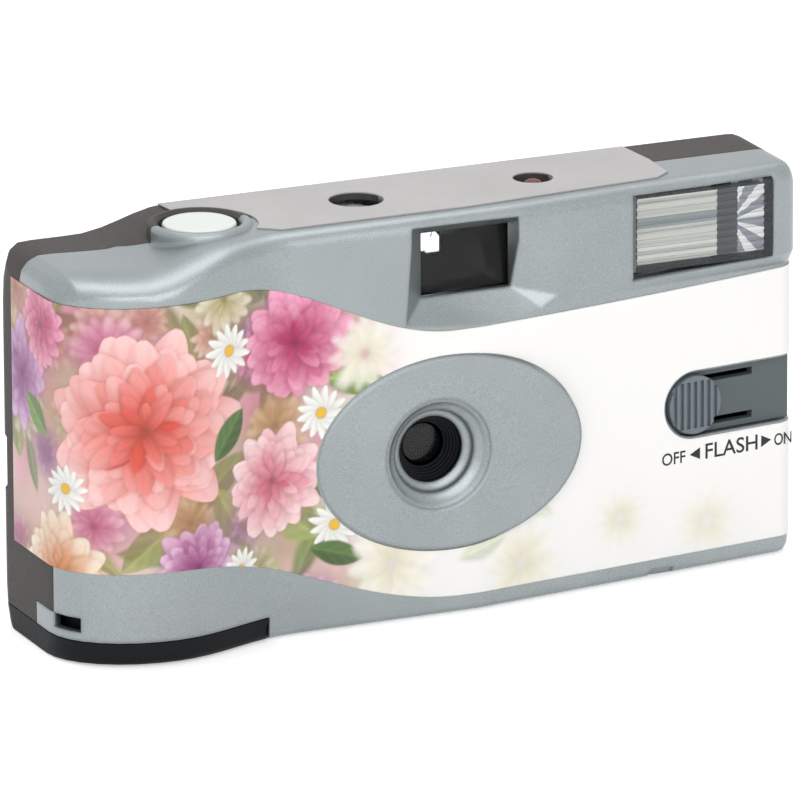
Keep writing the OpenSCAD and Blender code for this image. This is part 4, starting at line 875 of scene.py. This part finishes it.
SIZE_OF_CAPITAL = 1.43
STROKE = 0.03
INK_T = 0.004
INK_LIFT = 0.006
ARROW_LEVELS = (0.002, 0.01)


def on_face(x, z, out):
    """Frame on the label face at x: first axis along it, second up, third out of it."""
    along = Vector((math.cos(TURN), math.sin(TURN), 0))
    normal = Vector((math.sin(TURN), -math.cos(TURN), 0))
    at = Vector((x, float(face_y(x, 0)), z)) + normal * out
    m = Matrix((along, (0, 0, 1), normal)).transposed().to_4x4()
    m.translation = at * MM
    return m


def flat_piece(name, mesh):
    mesh.materials.clear()
    mesh.materials.append(ink)
    piece = add_object(name, mesh)
    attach(piece, "camera_body")


def letters(word, x, z, height, narrow):
    """A word from its lower left corner on, narrowed or widened along the face."""
    name = "word_" + word.lower()
    curve = bpy.data.curves.new(name, "FONT")
    curve.body = word
    curve.size = height * SIZE_OF_CAPITAL * MM
    curve.extrude = INK_T * MM
    curve.offset = STROKE * MM
    text = add_object(name, curve)
    text.matrix_world = on_face(x, z, LABEL_T + INK_LIFT) @ Matrix.Scale(narrow, 4, (1, 0, 0))
    bpy.context.view_layer.update()
    mesh = bpy.data.meshes.new_from_object(text.evaluated_get(bpy.context.evaluated_depsgraph_get()))
    mesh.transform(text.matrix_world)
    bpy.data.objects.remove(text)
    flat_piece(name, mesh)


def arrow(name, x, z, length, height):
    """A triangle that points right from x, or left where its length is negative."""
    m = on_face(x, z, LABEL_T)
    outline = [(0, -height / 2), (0, height / 2), (length, 0)]
    verts = [m @ (Vector((a, b, level)) * MM) for level in ARROW_LEVELS for a, b in outline]
    order = 1 if length > 0 else -1
    faces = [face[::order] for face in ((0, 1, 2), (5, 4, 3), (0, 3, 4, 1), (1, 4, 5, 2), (2, 5, 3, 0))]
    mesh = bpy.data.meshes.new(name)
    mesh.from_pydata([tuple(v) for v in verts], [], faces)
    flat_piece(name, mesh)


letters("OFF", x=36.4, z=16.75, height=1.8, narrow=0.92)
letters("FLASH", x=43.7, z=16.7, height=2.3, narrow=1.03)
letters("ON", x=55.75, z=16.8, height=1.75, narrow=0.8)
arrow("arrow_off", x=43.0, z=17.7, length=-1.8, height=1.8)
arrow("arrow_on", x=53.55, z=17.8, length=1.75, height=1.8)


# Floor and sky, in metres

FLOOR_SIZE = 8
FLOOR_DROP = 0.0002
FLOOR_TONE = 0.8
FLOOR_LIFT = 0.45
DIM_SKY, BRIGHT_SKY = 0.06, 0.85
BRIGHT_SIDE = Vector((-0.2, 0.7, 0.68))


def straight_ray(tree):
    """1 for rays from the camera, also through clear pieces and off shiny ones."""
    path = tree.nodes.new("ShaderNodeLightPath").outputs
    clear_or_shiny = math_node(tree, "MAXIMUM", path["Is Transmission Ray"], path["Is Glossy Ray"])
    return math_node(tree, "MAXIMUM", path["Is Camera Ray"], clear_or_shiny)


def stage_material(name, tone, lift):
    """Matt stage surface that looks a little lighter to the camera than it is."""
    m, tree, shader = new_material(name)
    shader.inputs["Base Color"].default_value = (tone, tone, tone, 1)
    shader.inputs["Roughness"].default_value = 0.9
    shader.inputs["Specular IOR Level"].default_value = 0.1
    shader.inputs["Emission Color"].default_value = (1, 1, 1, 1)
    gain = math_node(tree, "MULTIPLY", straight_ray(tree), lift)
    tree.links.new(gain, shader.inputs["Emission Strength"])
    return m


def build_sky():
    """White to straight rays; for other light, bright above and behind and dim in front."""
    world = bpy.data.worlds.new("studio")
    bpy.context.scene.world = world
    world.use_nodes = True
    tree = world.node_tree
    sky = tree.nodes["Background"]
    sky.inputs[0].default_value = (1, 1, 1, 1)
    coord = tree.nodes.new("ShaderNodeTexCoord")
    toward_side = tree.nodes.new("ShaderNodeVectorMath")
    toward_side.operation = "DOT_PRODUCT"
    toward_side.inputs[1].default_value = BRIGHT_SIDE.normalized()
    tree.links.new(coord.outputs["Generated"], toward_side.inputs[0])
    depth = tree.nodes.new("ShaderNodeMapRange")
    depth.inputs["From Min"].default_value = -1.0
    depth.inputs["To Min"].default_value = DIM_SKY
    depth.inputs["To Max"].default_value = BRIGHT_SKY
    tree.links.new(toward_side.outputs["Value"], depth.inputs["Value"])
    level = tree.nodes.new("ShaderNodeMix")
    tree.links.new(straight_ray(tree), level.inputs["Factor"])
    tree.links.new(depth.outputs[0], level.inputs["A"])
    level.inputs["B"].default_value = 1.0
    tree.links.new(level.outputs["Result"], sky.inputs[1])


bpy.ops.mesh.primitive_plane_add(size=FLOOR_SIZE, location=(0, 0, -FLOOR_DROP))
floor = bpy.context.object
floor.name = "floor"
floor.data.materials.append(stage_material("floor", FLOOR_TONE, FLOOR_LIFT))
build_sky()


# Lamps, in metres and watts

LAMP_AIM = Vector((0, 0, 0.03))


def lamp(name, place, size, power):
    data = bpy.data.lights.new(name, "AREA")
    data.shape = "RECTANGLE"
    data.size, data.size_y = size
    data.energy = power
    obj = add_object(name, data)
    obj.location = place
    obj.rotation_euler = (LAMP_AIM - Vector(place)).to_track_quat("-Z", "Y").to_euler()


lamp("key", place=(-0.15, -0.9, 0.55), size=(1.1, 0.9), power=6.2)
lamp("left", place=(-0.75, -0.65, 0.3), size=(0.5, 0.5), power=0.3)
lamp("top", place=(0.05, 0.2, 0.9), size=(0.8, 0.5), power=2.4)


# Camera fitted to the photograph: places in metres, focal length and shifts in pixels of the picture

AZIMUTH = math.radians(23.943)
RISE = math.radians(16.611)
ROLL = math.radians(0.254)
AIM = Vector((-0.00075, -0.003743, 0.030522))
DISTANCE = 1.70865
PICTURE = 800
FOCAL = 11805.03
SHIFT_X, SHIFT_Y = -14.552, -2.385
SENSOR = 36
SIGHT = 20

toward = Vector((-math.sin(AZIMUTH) * math.cos(RISE),
                 -math.cos(AZIMUTH) * math.cos(RISE),
                 math.sin(RISE)))
right = Vector((math.cos(AZIMUTH), -math.sin(AZIMUTH), 0))
up = toward.cross(right)
axis_x = right * math.cos(ROLL) - up * math.sin(ROLL)
axis_y = right * math.sin(ROLL) + up * math.cos(ROLL)
camera_frame = Matrix((axis_x, axis_y, toward)).transposed().to_4x4()
camera_frame.translation = AIM + toward * DISTANCE
camera = add_object("camera", bpy.data.cameras.new("camera"))
camera.matrix_world = camera_frame
camera.data.sensor_width = SENSOR
camera.data.lens = FOCAL / PICTURE * SENSOR
camera.data.shift_x = SHIFT_X / PICTURE
camera.data.shift_y = SHIFT_Y / PICTURE
camera.data.clip_end = SIGHT
bpy.context.scene.camera = camera
bpy.context.scene.view_settings.view_transform = "Standard"

bpy.context.view_layer.update()
